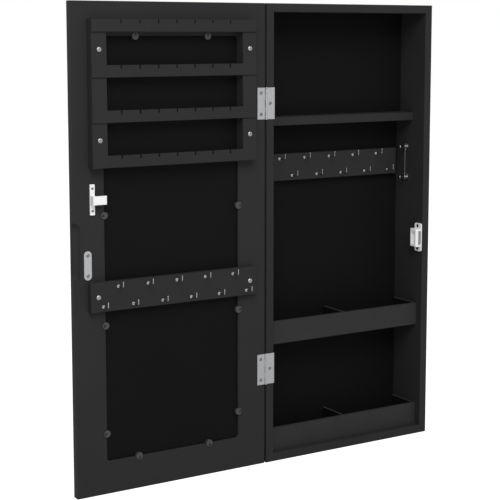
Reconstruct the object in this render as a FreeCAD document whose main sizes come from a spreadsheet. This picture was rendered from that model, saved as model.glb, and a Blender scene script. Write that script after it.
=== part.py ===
"""Wall-mounted jewellery cabinet with a mirror door, shown with the door folded right back.

The cabinet's back lies on the wall plane y = 0, +X is to its right and +Z is up.  The origin is
the middle of the back.  The door hangs on two butt hinges at the front left edge.  At rest it is
open by a half turn: its inner face is in line with the cabinet's front, and the mirror on its
outer face looks to the wall.  All sizes are in millimetres.
"""
import FreeCAD, Part
import math
import os
import re
import Sketcher

SIZES = {
    # cabinet
    "case_width": (300.0, "outer width of the cabinet and of the door"),
    "case_height": (670.0, "outer height of the cabinet and of the door"),
    "case_depth": (71.0, "depth of the cabinet without its door"),
    "board_thick": (12.0, "thickness of the sides, top, bottom and shelf"),
    "back_thick": (3.0, "thickness of the back panel"),
    "back_lap": (6.0, "how far the back panel laps over the boards round it"),
    "dado_depth": (4.0, "depth of the grooves that hold the shelf and the tray floor"),
    "top_room": (152.0, "inner height of the top compartment"),
    "shelf_setback": (27.0, "shelf's front edge behind the cabinet's front"),
    "hanging_board_thick": (12.0, "thickness of the hanging board in the top compartment"),
    "dowel_radius": (3.0, "radius of the wooden dowels"),
    "dowel_in_side": (8.0, "length of a dowel inside a side board"),
    "dowel_in_end": (16.0, "length of a dowel inside the end of the other board"),
    "dowel_inset": (16.0, "dowels of the top and bottom from the boards' front and rear edges"),
    "hanging_dowel_inset": (36.0, "dowels of the hanging board from its upper and lower edges"),
    "nail_radius": (0.7, "radius of the back panel nails"),
    "nail_head_radius": (1.8, "radius of the nail heads"),
    "nail_head_thick": (0.5, "thickness of the nail heads"),
    "nail_length": (14.0, "length of the nails"),
    "nail_point": (1.4, "length of the nails' points"),
    "nail_inset": (3.0, "nails from the back panel's edge"),
    "nail_spread": (50.0, "nails of the shelf and the bottom from the middle"),
    # trays
    "tray_setback": (12.0, "tray fronts behind the cabinet's front"),
    "tray_height": (34.0, "height of the tray fronts"),
    "tray_front_thick": (5.0, "thickness of the tray fronts"),
    "tray_wall_thick": (3.0, "thickness of the dividers and end walls"),
    "tray_floor_thick": (5.0, "thickness of the upper tray's floor"),
    "upper_tray_height": (173.0, "underside of the upper tray above the cabinet's bottom"),
    # door
    "door_thick": (12.0, "thickness of the door frame"),
    "door_gap": (2.0, "gap between the cabinet's front and the closed door"),
    "door_side_gap": (3.0, "gap between the cabinet's side and the open door"),
    "door_edge_round": (0.8, "rounding of the door's edges"),
    "stile_width": (45.0, "width of the door's uprights, beside the mirror opening"),
    "rail_height": (46.0, "height of the door's rails, above and below the mirror opening"),
    "opening_radius": (5.0, "corner radius of the mirror opening"),
    "mirror_lip_width": (6.0, "width of the lip that the mirror lies on"),
    "mirror_lip_thick": (3.5, "thickness of the lip that the mirror lies on"),
    "glass_thick": (3.0, "thickness of the mirror glass"),
    "backer_thick": (2.5, "thickness of the panel behind the glass"),
    "glass_clearance": (0.5, "clearance round the glass and its backing panel"),
    "pull_radius": (9.8, "radius of the finger pull's hollow"),
    "pull_offset": (2.0, "centre of the finger pull's hollow in front of the inner face"),
    "pull_rise": (3.0, "finger pull's middle above the door's middle"),
    "pull_length": (80.0, "length of the finger pull"),
    # mirror clips
    "clip_radius": (5.0, "radius of the mirror clips"),
    "clip_thick": (1.5, "thickness of the clips over the frame"),
    "clip_clearance": (0.2, "clearance between a clip's foot and the opening's edge"),
    "clip_screw_offset": (2.4, "clip screws outside the opening's edge"),
    "clip_low": (39.0, "lowest side clips above the opening's lower edge"),
    "clip_under_board": (21.55, "middle side clips below the door's hook board"),
    "clip_under_rack": (65.0, "upper side clips below the earring rack"),
    "clip_end_offset": (56.0, "top and bottom clips from the door's middle"),
    # earring rack
    "rack_margin": (23.25, "earring rack's sides from the door's sides"),
    "rack_drop": (24.0, "top of the rack below the door's top"),
    "rack_depth": (15.0, "depth of the rack in front of the door"),
    "rack_plate": (3.0, "thickness of the rack's face plates"),
    "rack_lean": (2.0, "how far the foot of each tier stands out past its head"),
    "tier_height": (59.7, "height of one tier"),
    "rack_head_height": (16.4, "height of the rack's head strip"),
    "tier_stile": (21.75, "width of the uprights of a tier"),
    "tier_rail": (16.0, "height of the slotted rail of a tier"),
    "slot_width": (2.2, "width of the earring slots"),
    "slot_depth": (5.0, "depth of the earring slots"),
    "slot_margin": (21.0, "outermost earring slots from a tier's uprights"),
    "rack_screw_inset": (10.8, "rack screws from the rack's side edges"),
    "rack_screw_rise": (36.6, "rack screws above the foot of their tier"),
    # hook boards
    "hook_board_air": (8.0, "gap between a hook board's ends and the cabinet's sides"),
    "hook_board_height": (40.0, "height of the hook boards"),
    "hook_board_thick": (9.0, "thickness of the hook boards"),
    "case_board_drop": (45.3, "gap between the shelf and the cabinet's hook board"),
    "door_board_drop": (3.2, "gap between the strike plate and the door's hook board"),
    "hook_margin": (17.5, "outermost hooks of the lower row from the board's ends"),
    "hook_row_offset": (13.0, "hook rows from the board's middle line"),
    "hook_wire": (0.7, "radius of the hook wire"),
    "hook_reach": (17.0, "how far a hook stands out of its board"),
    "hook_rise": (8.6, "height of a hook's upturned end above its arm's axis"),
    "hook_bend": (3.0, "bend radius of a hook at its wire's axis"),
    "hook_collar": (2.4, "radius of a hook's collar"),
    "hook_collar_nose": (2.2, "radius of the collar's outer end"),
    "hook_collar_thick": (1.2, "thickness of a hook's collar"),
    "hook_stem": (6.5, "length of a hook's stem in the board"),
    "board_screw_inset": (11.0, "hook board screws from the board's ends"),
    # hinges
    "hinge_height": (45.0, "height of a hinge"),
    "hinge_inset": (141.5, "hinge's middle from the cabinet's bottom or top"),
    "leaf_width": (14.4, "width of a hinge leaf from the pin's axis"),
    "leaf_thick": (0.9, "thickness of a hinge leaf"),
    "knuckle_radius": (1.5, "outer radius of the hinge knuckles"),
    "knuckle_gap": (0.2, "gap between neighbouring knuckles"),
    "knuckle_clearance": (0.3, "clearance between a leaf and the other leaf's knuckles"),
    "pin_radius": (0.8, "radius of the hinge pin"),
    "pin_clearance": (0.05, "radial running clearance of the door's knuckles"),
    "pin_head": (0.6, "height of the hinge pin's heads"),
    "leaf_screw_inset": (5.7, "door leaf screws from the leaf's outer edge"),
    "leaf_single_inset": (7.6, "cabinet leaf screw from the leaf's outer edge"),
    "leaf_screw_spread": (15.3, "door leaf screws above and below the hinge's middle"),
    # magnetic catch, on the cabinet's right side
    "catch_drop": (23.0, "catch's middle below the cabinet's middle"),
    "catch_width": (12.0, "how far the catch stands out of the side"),
    "catch_length": (28.0, "height of the catch's housing"),
    "catch_depth": (14.6, "depth of the catch's housing"),
    "catch_setback": (1.0, "housing's front behind the cabinet's front"),
    "catch_round": (1.5, "rounding of the housing's corners"),
    "flange_length": (44.0, "height of the catch's flange"),
    "flange_depth": (16.0, "depth of the catch's flange"),
    "flange_thick": (2.0, "thickness of the catch's flange"),
    "flange_round": (3.2, "rounding of the flange's corners"),
    "flange_screw_spread": (17.6, "flange screws from the catch's middle"),
    "flange_screw_depth": (9.0, "flange screws behind the housing's front"),
    "magnet_inset": (5.4, "magnet's middle plane from the cabinet's side"),
    "magnet_thick": (2.0, "thickness of the magnet"),
    "pole_thick": (1.0, "thickness of the steel pole plates"),
    "magnet_length": (21.0, "height of the magnet and its pole plates"),
    "magnet_depth": (10.0, "depth of the magnet"),
    "magnet_step": (1.0, "magnet's front behind the fronts of the pole plates"),
    "magnet_fit": (0.2, "clearance round the magnet pack in its housing"),
    "catch_window_length": (20.0, "height of the window in the housing's side"),
    "catch_window_depth": (9.0, "depth of the window in the housing's side"),
    # strike plate, on the door
    "strike_width": (11.0, "width of the strike plate"),
    "strike_length": (39.4, "length of the strike plate"),
    "strike_thick": (1.2, "thickness of the strike plate"),
    "strike_air": (0.2, "air between the closed strike plate and the pole plates"),
    "strike_rise": (7.7, "strike plate's middle above the catch's middle"),
    "strike_shift": (2.4, "strike plate's middle from the magnet's middle plane"),
    "strike_screw_spread": (13.7, "strike plate screws from its middle"),
    # white plastic hook, on the door
    "tongue_plate_inset": (24.0, "tongue hook's base plate from the door's free edge"),
    "tongue_plate_width": (6.8, "width of the tongue hook's base plate"),
    "tongue_drop": (21.8, "gap between the earring rack and the base plate"),
    "tongue_plate_length": (41.3, "length of the base plate"),
    "tongue_plate_thick": (2.0, "thickness of the base plate"),
    "tongue_plate_round": (0.6, "corner rounding of the base plate"),
    "tongue_inset": (0.3, "tongue's post from the sides of the base plate"),
    "tongue_rise": (14.1, "underside of the tongue above the base plate's lower end"),
    "tongue_height": (12.0, "height of the tongue"),
    "tongue_reach": (20.0, "length of the tongue past the post's outer side"),
    "tongue_thick": (3.2, "thickness of the tongue"),
    "tongue_stand": (11.6, "tongue's outer face from the door's inner face"),
    "tongue_round": (1.0, "rounding of the tongue's edges"),
    "tongue_screw_spread": (15.0, "base plate screws from its middle"),
    # hanging bar, on the cabinet's right side
    "bar_radius": (0.5, "radius of the hanging bar"),
    "bar_drop": (38.1, "upper end of the hanging bar below the shelf"),
    "bar_length": (56.0, "length of the hanging bar"),
    "bar_stand": (2.7, "bar's axis from the cabinet's side"),
    "bar_setback": (42.3, "bar's axis behind the cabinet's front"),
    "post_inset": (4.0, "bar's posts from the ends of the bar"),
    "post_foot_radius": (5.6, "radius of a post's round foot"),
    "post_foot_thick": (1.4, "thickness of a post's foot"),
    "post_radius": (1.8, "radius of a post's neck"),
    "post_reach": (14.5, "how far a post stands out of the cabinet's side"),
    "post_knob_radius": (2.7, "radius of a post's knob"),
    "post_knob_length": (4.0, "length of a post's knob"),
    "post_round": (0.9, "rounding of the knob's end"),
    "post_stud_radius": (1.5, "radius of a post's stud in the side"),
    "post_stud_length": (8.0, "length of a post's stud"),
    # wall hangers
    "hanger_spacing": (200.0, "distance between the two wall hangers"),
    "hanger_width": (16.0, "width of a wall hanger"),
    "hanger_length": (45.0, "length of a wall hanger"),
    "hanger_thick": (1.5, "thickness of a wall hanger"),
    "hanger_below_top": (45.0, "wall hangers' entry holes below the cabinet's top"),
    "hanger_entry": (4.5, "radius of the hanger's entry hole"),
    "hanger_slot": (2.4, "half the width of the hanger's slot"),
    "hanger_travel": (10.0, "length of the hanger's slot"),
    "hanger_hollow": (7.0, "depth of the hollow behind the hanger"),
    "hanger_hollow_wall": (1.0, "how far the hollow is wider than the entry hole"),
    "hanger_screw_inset": (5.0, "hanger screws from the hanger's ends"),
    # screws
    "small_head": (2.6, "head radius of the hinge, strike, catch and hanger screws"),
    "small_shank": (1.3, "shank radius of those screws"),
    "small_sink": (1.4, "height of their sunk heads"),
    "small_length": (9.0, "length of those screws"),
    "sunk_bevel": (0.35, "height of the bevel round a sunk head"),
    "sunk_bevel_width": (0.8, "width of the bevel round a sunk head"),
    "clip_screw_head": (1.9, "head radius of the screws in the clips and the plastic hook"),
    "clip_screw_shank": (1.0, "shank radius of those screws"),
    "clip_screw_sink": (0.9, "height of their sunk heads"),
    "clip_screw_length": (9.0, "length of those screws"),
    "pan_head": (3.5, "head radius of the rack and hook board screws"),
    "pan_rise": (1.8, "height of their raised heads"),
    "pan_round": (1.4, "rounding of their raised heads"),
    "pan_shank": (1.6, "shank radius of those screws"),
    "board_screw_length": (17.0, "length of the hook board screws"),
    "rack_screw_length": (23.0, "length of the rack screws"),
    "back_screw_length": (10.0, "length of the screws behind the cabinet's hook board"),
    "screw_point": (1.6, "length of a screw's point, as a multiple of its shank's radius"),
    "recess_reach": (0.62, "reach of the cross recess, as a share of the head's radius"),
    "recess_width": (0.8, "width of the cross recess"),
    "recess_depth": (0.8, "depth of the cross recess"),
}

SLOTS_PER_RAIL = 7
TIERS = 3
KNUCKLES = 5
NAILS_PER_SIDE = 5
UPPER_HOOKS = 5
LOWER_HOOKS = 6
PAST = "1"    # how far a cutting shape runs past the face it opens

# places that several pieces share, written with the names in the sheet
LEFT = "-case_width/2"
RIGHT = "case_width/2"
FRONT = "-case_depth"
BOTTOM = "-case_height/2"
TOP = "case_height/2"
IN_LEFT = "-case_width/2 + board_thick"
IN_RIGHT = "case_width/2 - board_thick"
PANEL_FACE = "-back_thick"
AXIS_X = "-case_width/2 - door_side_gap/2"
AXIS_Y = "-case_depth - door_gap/2"
DOOR_RIGHT = "-case_width/2 - door_side_gap"
DOOR_LEFT = "-1.5*case_width - door_side_gap"
DOOR_MIDDLE = "-case_width - door_side_gap"
DOOR_BACK = "-case_depth + door_thick"
SHELF_HIGH = "case_height/2 - board_thick - top_room"
SHELF_LOW = f"{SHELF_HIGH} - board_thick"
HALF_OPENING_WIDE = "(case_width/2 - stile_width)"
HALF_OPENING_HIGH = "(case_height/2 - rail_height)"
RACK_WIDTH = "(case_width - 2*rack_margin)"
RACK_TOP = "case_height/2 - rack_drop"
RACK_LOW = f"{RACK_TOP} - rack_head_height - {TIERS}*tier_height"
HOOK_BOARD_WIDTH = "(case_width - 2*board_thick - 2*hook_board_air)"
HOOK_PITCH = f"({HOOK_BOARD_WIDTH} - 2*hook_margin)/{LOWER_HOOKS - 1}"
SLOT_PITCH = f"({RACK_WIDTH} - 2*tier_stile - 2*slot_margin)/{SLOTS_PER_RAIL - 1}"

TURN_FRONT = FreeCAD.Rotation(FreeCAD.Vector(1, 0, 0), 90)    # local +Z looks to -Y
TURN_BACK = FreeCAD.Rotation(FreeCAD.Vector(1, 0, 0), -90)    # local +Z looks to +Y
TURN_LEFT = FreeCAD.Rotation(FreeCAD.Vector(0, 1, 0), -90)    # local +Z looks to -X
UPRIGHT = FreeCAD.Rotation()

doc = FreeCAD.newDocument("jewellery_cabinet")
sheet = doc.addObject("Spreadsheet::Sheet", "Sizes")
for row, (alias, (number, meaning)) in enumerate(SIZES.items(), start=1):
    sheet.set(f"A{row}", alias)
    sheet.set(f"B{row}", str(number))
    sheet.set(f"C{row}", meaning)
    sheet.setAlias(f"B{row}", alias)
doc.recompute()

NODES = []


# ---------------------------------------------------------------- helpers

def formula(text):
    """The text with each size's name turned into a reference to its cell."""
    return re.sub(r"[a-z][a-z_]+", lambda word: "Sizes." + word[0] if word[0] in SIZES else word[0], text)


def bind(thing, prop, text):
    thing.setExpression(prop, formula(text))


def node(thing, label):
    """Mark an object as a finished piece under its own name."""
    thing.Label = label
    NODES.append(thing)
    return thing


def place(thing, x, y, z, turn=UPRIGHT):
    thing.Placement = FreeCAD.Placement(FreeCAD.Vector(), turn)
    bind(thing, "Placement.Base.x", x)
    bind(thing, "Placement.Base.y", y)
    bind(thing, "Placement.Base.z", z)
    return thing


def block(name, x, y, z):
    """A box between two expressions along each axis."""
    box = doc.addObject("Part::Box", name)
    bind(box, "Length", f"({x[1]}) - ({x[0]})")
    bind(box, "Width", f"({y[1]}) - ({y[0]})")
    bind(box, "Height", f"({z[1]}) - ({z[0]})")
    return place(box, x[0], y[0], z[0])


def rod(name, radius, length, x, y, z, turn=UPRIGHT):
    """A cylinder from a point along the turned local +Z."""
    cylinder = doc.addObject("Part::Cylinder", name)
    bind(cylinder, "Radius", radius)
    bind(cylinder, "Height", length)
    return place(cylinder, x, y, z, turn)


def fuse(name, shapes):
    joined = doc.addObject("Part::MultiFuse", name)
    joined.Shapes = shapes
    joined.Refine = True
    return joined


def group(name, shapes):
    gathered = doc.addObject("Part::Compound", name)
    gathered.Links = shapes
    return gathered


def cut(name, base, tools):
    """The base with every tool taken out of it."""
    result = doc.addObject("Part::Cut", name)
    result.Base = base
    result.Tool = tools[0] if len(tools) == 1 else group(name + "_tools", tools)
    return result


def copies(name, master, places):
    """Copies of one master object, each at its own (x, y, z, turn)."""
    made = []
    for x, y, z, turn in places:
        copy = doc.addObject("App::Link", name)
        copy.LinkedObject = master
        made.append(place(copy, x, y, z, turn))
    return group(name + "_set", made)


def new_body(name):
    return doc.addObject("PartDesign::Body", name)


def new_sketch(body, role, offset="0"):
    """An empty sketch on one of the body's own planes, moved along the plane's normal."""
    sketch = body.newObject("Sketcher::SketchObject", body.Name + "_sketch")
    base = next(item for item in body.Origin.OriginFeatures if item.Role == role)
    sketch.AttachmentSupport = [(base, "")]
    sketch.MapMode = "FlatFace"
    bind(sketch, "AttachmentOffset.Base.z", offset)
    return sketch


def polygon(sketch, points):
    """A closed outline whose corners are held at the given expressions."""
    first = sketch.GeometryCount
    count = len(points)
    start = []
    for step in range(count):
        angle = 2 * math.pi * step / count
        start.append(FreeCAD.Vector(math.cos(angle), math.sin(angle), 0))
    for step in range(count):
        sketch.addGeometry(Part.LineSegment(start[step], start[(step + 1) % count]), False)
    for step in range(count):
        after = first + (step + 1) % count
        sketch.addConstraint(Sketcher.Constraint("Coincident", first + step, 2, after, 1))
    for step, (across, up) in enumerate(points):
        for kind, text, rough in (("DistanceX", across, start[step].x), ("DistanceY", up, start[step].y)):
            held = sketch.addConstraint(Sketcher.Constraint(kind, -1, 1, first + step, 1, rough))
            bind(sketch, f"Constraints[{held}]", text)
    return sketch


def rectangle(sketch, across, up):
    return polygon(sketch, [(across[0], up[0]), (across[1], up[0]), (across[1], up[1]), (across[0], up[1])])


def add(body, kind, sketch, length=None, flip=False):
    """A pad or pocket of a sketch; a pocket without a length goes through everything."""
    feature = body.newObject("PartDesign::" + kind, f"{body.Name}_{kind.lower()}")
    feature.Profile = sketch
    feature.Reversed = flip
    if length is None:
        feature.Type = "ThroughAll"
    else:
        bind(feature, "Length", length)
    sketch.Visibility = False
    doc.recompute()
    return feature


def spin(body, sketch):
    """A full turn of a sketch about its own upright axis."""
    feature = body.newObject("PartDesign::Revolution", body.Name + "_turned")
    feature.Profile = sketch
    feature.ReferenceAxis = (sketch, ["V_Axis"])
    feature.Angle = 360
    doc.recompute()
    return feature


def soften(body, radius, wanted):
    """Round the edges of the body that the test picks."""
    base = body.Tip
    names = [f"Edge{number}" for number, edge in enumerate(base.Shape.Edges, start=1) if wanted(edge)]
    feature = body.newObject("PartDesign::Fillet", body.Name + "_rounding")
    feature.Base = (base, names)
    bind(feature, "Radius", radius)
    doc.recompute()
    return feature


def along(edge, axis):
    """True for a straight edge that runs along the given axis (0, 1 or 2)."""
    if not isinstance(edge.Curve, Part.Line):
        return False
    return abs(abs(edge.Curve.Direction[axis]) - 1) < 1e-6


def flat(edge, axis, level):
    """True for an edge whose every point has the given coordinate."""
    box = edge.BoundBox
    low, high = ((box.XMin, box.XMax), (box.YMin, box.YMax), (box.ZMin, box.ZMax))[axis]
    return abs(low - level) < 1e-4 and abs(high - level) < 1e-4


def from_bottom(text):
    """A height that is measured from the bottom of the cabinet or the door."""
    return f"{BOTTOM} + {text}"


# ---------------------------------------------------------------- screws, nails, dowels and hooks

def screw_pair(name, head, profile, seat, rounding=None):
    """A screw with its cross recess, and the hole that it goes into."""
    solids = []
    for part, outline in ((name, profile), (name + "_hole", seat)):
        body = new_body(part)
        spin(body, polygon(new_sketch(body, "XZ_Plane"), outline))
        if rounding:
            top = body.Shape.BoundBox.ZMax
            soften(body, rounding, lambda edge: flat(edge, 2, top))
        solids.append(body)
    screw = solids[0]
    top_level = profile[0][1]
    arm = f"{head}*recess_reach"
    half = "recess_width/2"
    cross = [(half, half), (arm, half), (arm, "-" + half), (half, "-" + half), (half, f"-{arm}"),
             ("-" + half, f"-{arm}"), ("-" + half, "-" + half), (f"-{arm}", "-" + half),
             (f"-{arm}", half), ("-" + half, half), ("-" + half, arm), (half, arm)]
    recess = polygon(new_sketch(screw, "XY_Plane", top_level), cross)
    add(screw, "Pocket", recess, "recess_depth")
    return solids


def sunk_screw(name, head, shank, sink, length):
    """Head flush with local z = 0 and bevelled at its rim, shank along local -Z."""
    below = [(head, "-sunk_bevel"), (shank, f"-{sink}"), (shank, f"-{length} + {shank}*screw_point"),
             ("0", f"-{length}")]
    profile = [("0", "0"), (f"{head} - sunk_bevel_width", "0"), *below]
    return screw_pair(name, head, profile, [("0", "0"), (head, "0"), *below])


def raised_screw(name, length):
    """Head on top of local z = 0, shank along local -Z."""
    profile = [("0", "pan_rise"), ("pan_head", "pan_rise"), ("pan_head", "0"), ("pan_shank", "0"),
               ("pan_shank", f"-{length} + pan_shank*screw_point"), ("0", f"-{length}")]
    return screw_pair(name, "pan_head", profile, profile, "pan_round")


def build_nail():
    body = new_body("nail")
    sketch = polygon(new_sketch(body, "XZ_Plane"),
                     [("0", "0"), ("nail_head_radius", "0"), ("nail_head_radius", "-nail_head_thick"),
                      ("nail_radius", "-nail_head_thick"), ("nail_radius", "-nail_length + nail_point"),
                      ("0", "-nail_length")])
    spin(body, sketch)
    return body


def build_post():
    """Foot on local z = 0, stud along local -Z, neck and knob along local +Z."""
    body = new_body("bar_post")
    knob_low = "post_reach - post_knob_length"
    spin(body, polygon(new_sketch(body, "XZ_Plane"),
                       [("0", "-post_stud_length"), ("post_stud_radius", "-post_stud_length"),
                        ("post_stud_radius", "0"), ("post_foot_radius", "0"),
                        ("post_foot_radius", "post_foot_thick"), ("post_radius", "post_foot_thick"),
                        ("post_radius", knob_low), ("post_knob_radius", knob_low),
                        ("post_knob_radius", "post_reach"), ("0", "post_reach")]))
    end = body.Shape.BoundBox.ZMax
    soften(body, "post_round", lambda edge: flat(edge, 2, end))
    return body


def build_hook():
    """Collar on local y = 0, stem into +Y, arm along -Y and its end turned up."""
    arm_end = "-hook_reach + hook_wire + hook_bend"
    tip = "hook_rise - hook_wire"
    stem = rod("hook_stem_rod", "hook_wire", f"hook_stem - ({arm_end})", "0", "hook_stem", "0", TURN_FRONT)
    collar = doc.addObject("Part::Cone", "hook_collar_cone")
    bind(collar, "Radius1", "hook_collar")
    bind(collar, "Radius2", "hook_collar_nose")
    bind(collar, "Height", "hook_collar_thick")
    place(collar, "0", "0", "0", TURN_FRONT)
    elbow = doc.addObject("Part::Torus", "hook_elbow")
    bind(elbow, "Radius1", "hook_bend")
    bind(elbow, "Radius2", "hook_wire")
    elbow.Angle3 = 90
    down_then_out = FreeCAD.Rotation(FreeCAD.Vector(0, 0, -1), FreeCAD.Vector(0, -1, 0),
                                     FreeCAD.Vector(-1, 0, 0), "XYZ")
    place(elbow, "0", arm_end, "hook_bend", down_then_out)
    upturn = rod("hook_upturn", "hook_wire", f"{tip} - hook_bend", "0", f"{arm_end} - hook_bend", "hook_bend")
    end = doc.addObject("Part::Sphere", "hook_end")
    bind(end, "Radius", "hook_wire")
    place(end, "0", f"{arm_end} - hook_bend", tip)
    return fuse("hook", [stem, collar, elbow, upturn, end])


small_screw, small_hole = sunk_screw("small_screw", "small_head", "small_shank", "small_sink", "small_length")
clip_screw, clip_hole = sunk_screw("clip_screw", "clip_screw_head", "clip_screw_shank", "clip_screw_sink",
                                   "clip_screw_length")
back_screw, back_hole = sunk_screw("back_screw", "small_head", "small_shank", "small_sink",
                                   "back_screw_length")
board_screw, board_hole = raised_screw("board_screw", "board_screw_length")
rack_screw, rack_hole = raised_screw("rack_screw", "rack_screw_length")
nail = build_nail()
post = build_post()
hook = build_hook()


# ---------------------------------------------------------------- where the fixings sit

def hinge_middles():
    return (("lower", from_bottom("hinge_inset")), ("upper", f"{TOP} - hinge_inset"))


DOOR_LEAF_X = f"{AXIS_X} - leaf_width + leaf_screw_inset"
CASE_LEAF_X = f"{AXIS_X} + leaf_width - leaf_single_inset"
LEAF_FACE = f"{FRONT} - leaf_thick"
door_hinge_places = []
case_hinge_places = []
for _, middle in hinge_middles():
    case_hinge_places.append((CASE_LEAF_X, LEAF_FACE, middle, TURN_FRONT))
    for sign in ("-", "+"):
        door_hinge_places.append((DOOR_LEAF_X, LEAF_FACE, f"{middle} {sign} leaf_screw_spread", TURN_FRONT))

FLANGE_FACE = f"{IN_RIGHT} - flange_thick"
CATCH_FRONT = f"{FRONT} + catch_setback"
CATCH_MIDDLE = "-catch_drop"
catch_places = []
for sign in ("-", "+"):
    catch_places.append((FLANGE_FACE, f"{CATCH_FRONT} + flange_screw_depth",
                         f"{CATCH_MIDDLE} {sign} flange_screw_spread", TURN_LEFT))

BAR_X = f"{IN_RIGHT} - bar_stand"
BAR_Y = f"{FRONT} + bar_setback"
BAR_Z = f"{SHELF_LOW} - bar_drop - bar_length"
post_middles = (("lower", f"{BAR_Z} + post_inset"), ("upper", f"{BAR_Z} + bar_length - post_inset"))

# the strike plate meets the magnet when the door is shut: its place is the magnet's, mirrored
MAGNET_X = f"{IN_RIGHT} - magnet_inset"
STRIKE_X = f"2*({AXIS_X}) - ({MAGNET_X}) + strike_shift"
STRIKE_Z = f"{CATCH_MIDDLE} + strike_rise"
strike_places = []
for sign in ("-", "+"):
    strike_places.append((STRIKE_X, f"{FRONT} - strike_thick", f"{STRIKE_Z} {sign} strike_screw_spread",
                          TURN_FRONT))

TONGUE_X = f"{DOOR_LEFT} + tongue_plate_inset"
TONGUE_TOP = f"{RACK_LOW} - tongue_drop"
TONGUE_MIDDLE = f"{TONGUE_TOP} - tongue_plate_length/2"
tongue_places = []
for sign in ("-", "+"):
    tongue_places.append((f"{TONGUE_X} + tongue_plate_width/2", f"{FRONT} - tongue_plate_thick",
                          f"{TONGUE_MIDDLE} {sign} tongue_screw_spread", TURN_FRONT))

RACK_LEFT = f"{DOOR_MIDDLE} - {RACK_WIDTH}/2"
RACK_RIGHT = f"{DOOR_MIDDLE} + {RACK_WIDTH}/2"
RACK_FACE = f"{FRONT} - rack_depth"
rack_places = []
for tier in (0, TIERS - 1):
    rise = f"{RACK_LOW} + {tier}*tier_height + rack_screw_rise"
    depth = f"{RACK_FACE} + rack_lean*rack_screw_rise/tier_height"
    for x in (f"{RACK_LEFT} + rack_screw_inset", f"{RACK_RIGHT} - rack_screw_inset"):
        rack_places.append((x, depth, rise, TURN_FRONT))

DOOR_BOARD_LOW = f"{STRIKE_Z} - strike_length/2 - door_board_drop - hook_board_height"
CASE_BOARD_LOW = f"{SHELF_LOW} - case_board_drop - hook_board_height"
DOOR_BOARD_MIDDLE = f"{DOOR_BOARD_LOW} + hook_board_height/2"
CASE_BOARD_MIDDLE = f"{CASE_BOARD_LOW} + hook_board_height/2"
DOOR_BOARD_FACE = f"{FRONT} - hook_board_thick"
CASE_BOARD_FACE = f"{PANEL_FACE} - hook_board_thick"
board_places = []
for side in ("-", "+"):
    board_places.append((f"{DOOR_MIDDLE} {side} ({HOOK_BOARD_WIDTH}/2 - board_screw_inset)", DOOR_BOARD_FACE,
                         DOOR_BOARD_MIDDLE, TURN_FRONT))
back_screw_places = []
for side in ("-", "+"):
    back_screw_places.append((f"0 {side} ({HOOK_BOARD_WIDTH}/2 - board_screw_inset)", "0",
                              CASE_BOARD_MIDDLE, TURN_BACK))

HANGER_TOP = f"{TOP} - hanger_below_top + hanger_travel + hanger_entry*2"
hanger_middles = ("-hanger_spacing/2", "hanger_spacing/2")
HANGER_MIDDLE = f"{TOP} - hanger_below_top + hanger_travel/2"
hanger_places = []
for x in hanger_middles:
    for sign in ("-", "+"):
        hanger_places.append((x, "0", f"{HANGER_MIDDLE} {sign} (hanger_length/2 - hanger_screw_inset)",
                              TURN_BACK))


def clip_places():
    """Middle of each mirror clip on the opening's edge, and the turn that points it outwards."""
    found = []
    heights = (f"-{HALF_OPENING_HIGH} + clip_low", f"{DOOR_BOARD_LOW} - clip_under_board",
               f"{RACK_LOW} - clip_under_rack")
    for height in heights:
        found.append((f"{DOOR_MIDDLE} + {HALF_OPENING_WIDE}", height, 0))
        found.append((f"{DOOR_MIDDLE} - {HALF_OPENING_WIDE}", height, 180))
    for sign in ("-", "+"):
        across = f"{DOOR_MIDDLE} {sign} clip_end_offset"
        found.append((across, HALF_OPENING_HIGH, -90))
        found.append((across, f"-{HALF_OPENING_HIGH}", 90))
    return found


def outward(x, z, turn, distance):
    """A point moved away from the opening's middle."""
    moved = {0: (f"{x} + {distance}", z), 180: (f"{x} - {distance}", z),
             -90: (x, f"{z} + {distance}"), 90: (x, f"{z} - {distance}")}
    return moved[turn]


def dowel_places():
    """Dowels through the ends of the top, bottom and hanging boards into the sides."""
    found = []
    depths = (f"{FRONT} + dowel_inset", "-back_thick - dowel_inset")
    for level in (f"{TOP} - board_thick/2", from_bottom("board_thick/2")):
        found += [(y, level) for y in depths]
    for level in (f"{SHELF_HIGH} + hanging_dowel_inset", f"{TOP} - board_thick - hanging_dowel_inset"):
        found.append(("-hanging_board_thick/2", level))
    return found


def nail_places():
    """Nails through the back panel into the sides, the bottom and the shelf."""
    found = []
    low = from_bottom("board_thick - back_lap + nail_inset")
    high = f"{SHELF_LOW} + board_thick/2"
    for step in range(NAILS_PER_SIDE):
        level = f"{low} + ({high} - ({low}))*{step / (NAILS_PER_SIDE - 1)}"
        for side in ("-", "+"):
            found.append((f"0 {side} (case_width/2 - board_thick + nail_inset)", "0", level, TURN_BACK))
    for side in ("-", "+"):
        found.append((f"0 {side} nail_spread", "0", low, TURN_BACK))
        found.append((f"0 {side} nail_spread", "0", high, TURN_BACK))
    return found


# ---------------------------------------------------------------- cabinet

HOUSED = (f"{IN_LEFT} - dado_depth", f"{IN_RIGHT} + dado_depth")
SHELF_FACE = f"{FRONT} + shelf_setback"
TRAY_LOW = from_bottom("upper_tray_height")
TRAY_FLOOR_HIGH = from_bottom("upper_tray_height + tray_floor_thick")
TRAY_HIGH = from_bottom("upper_tray_height + tray_height")
TRAY_FACE = f"{FRONT} + tray_setback"
TRAY_INSIDE = f"{TRAY_FACE} + tray_front_thick"
IN_BOTTOM = from_bottom("board_thick")
IN_TOP = f"{TOP} - board_thick"

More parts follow.
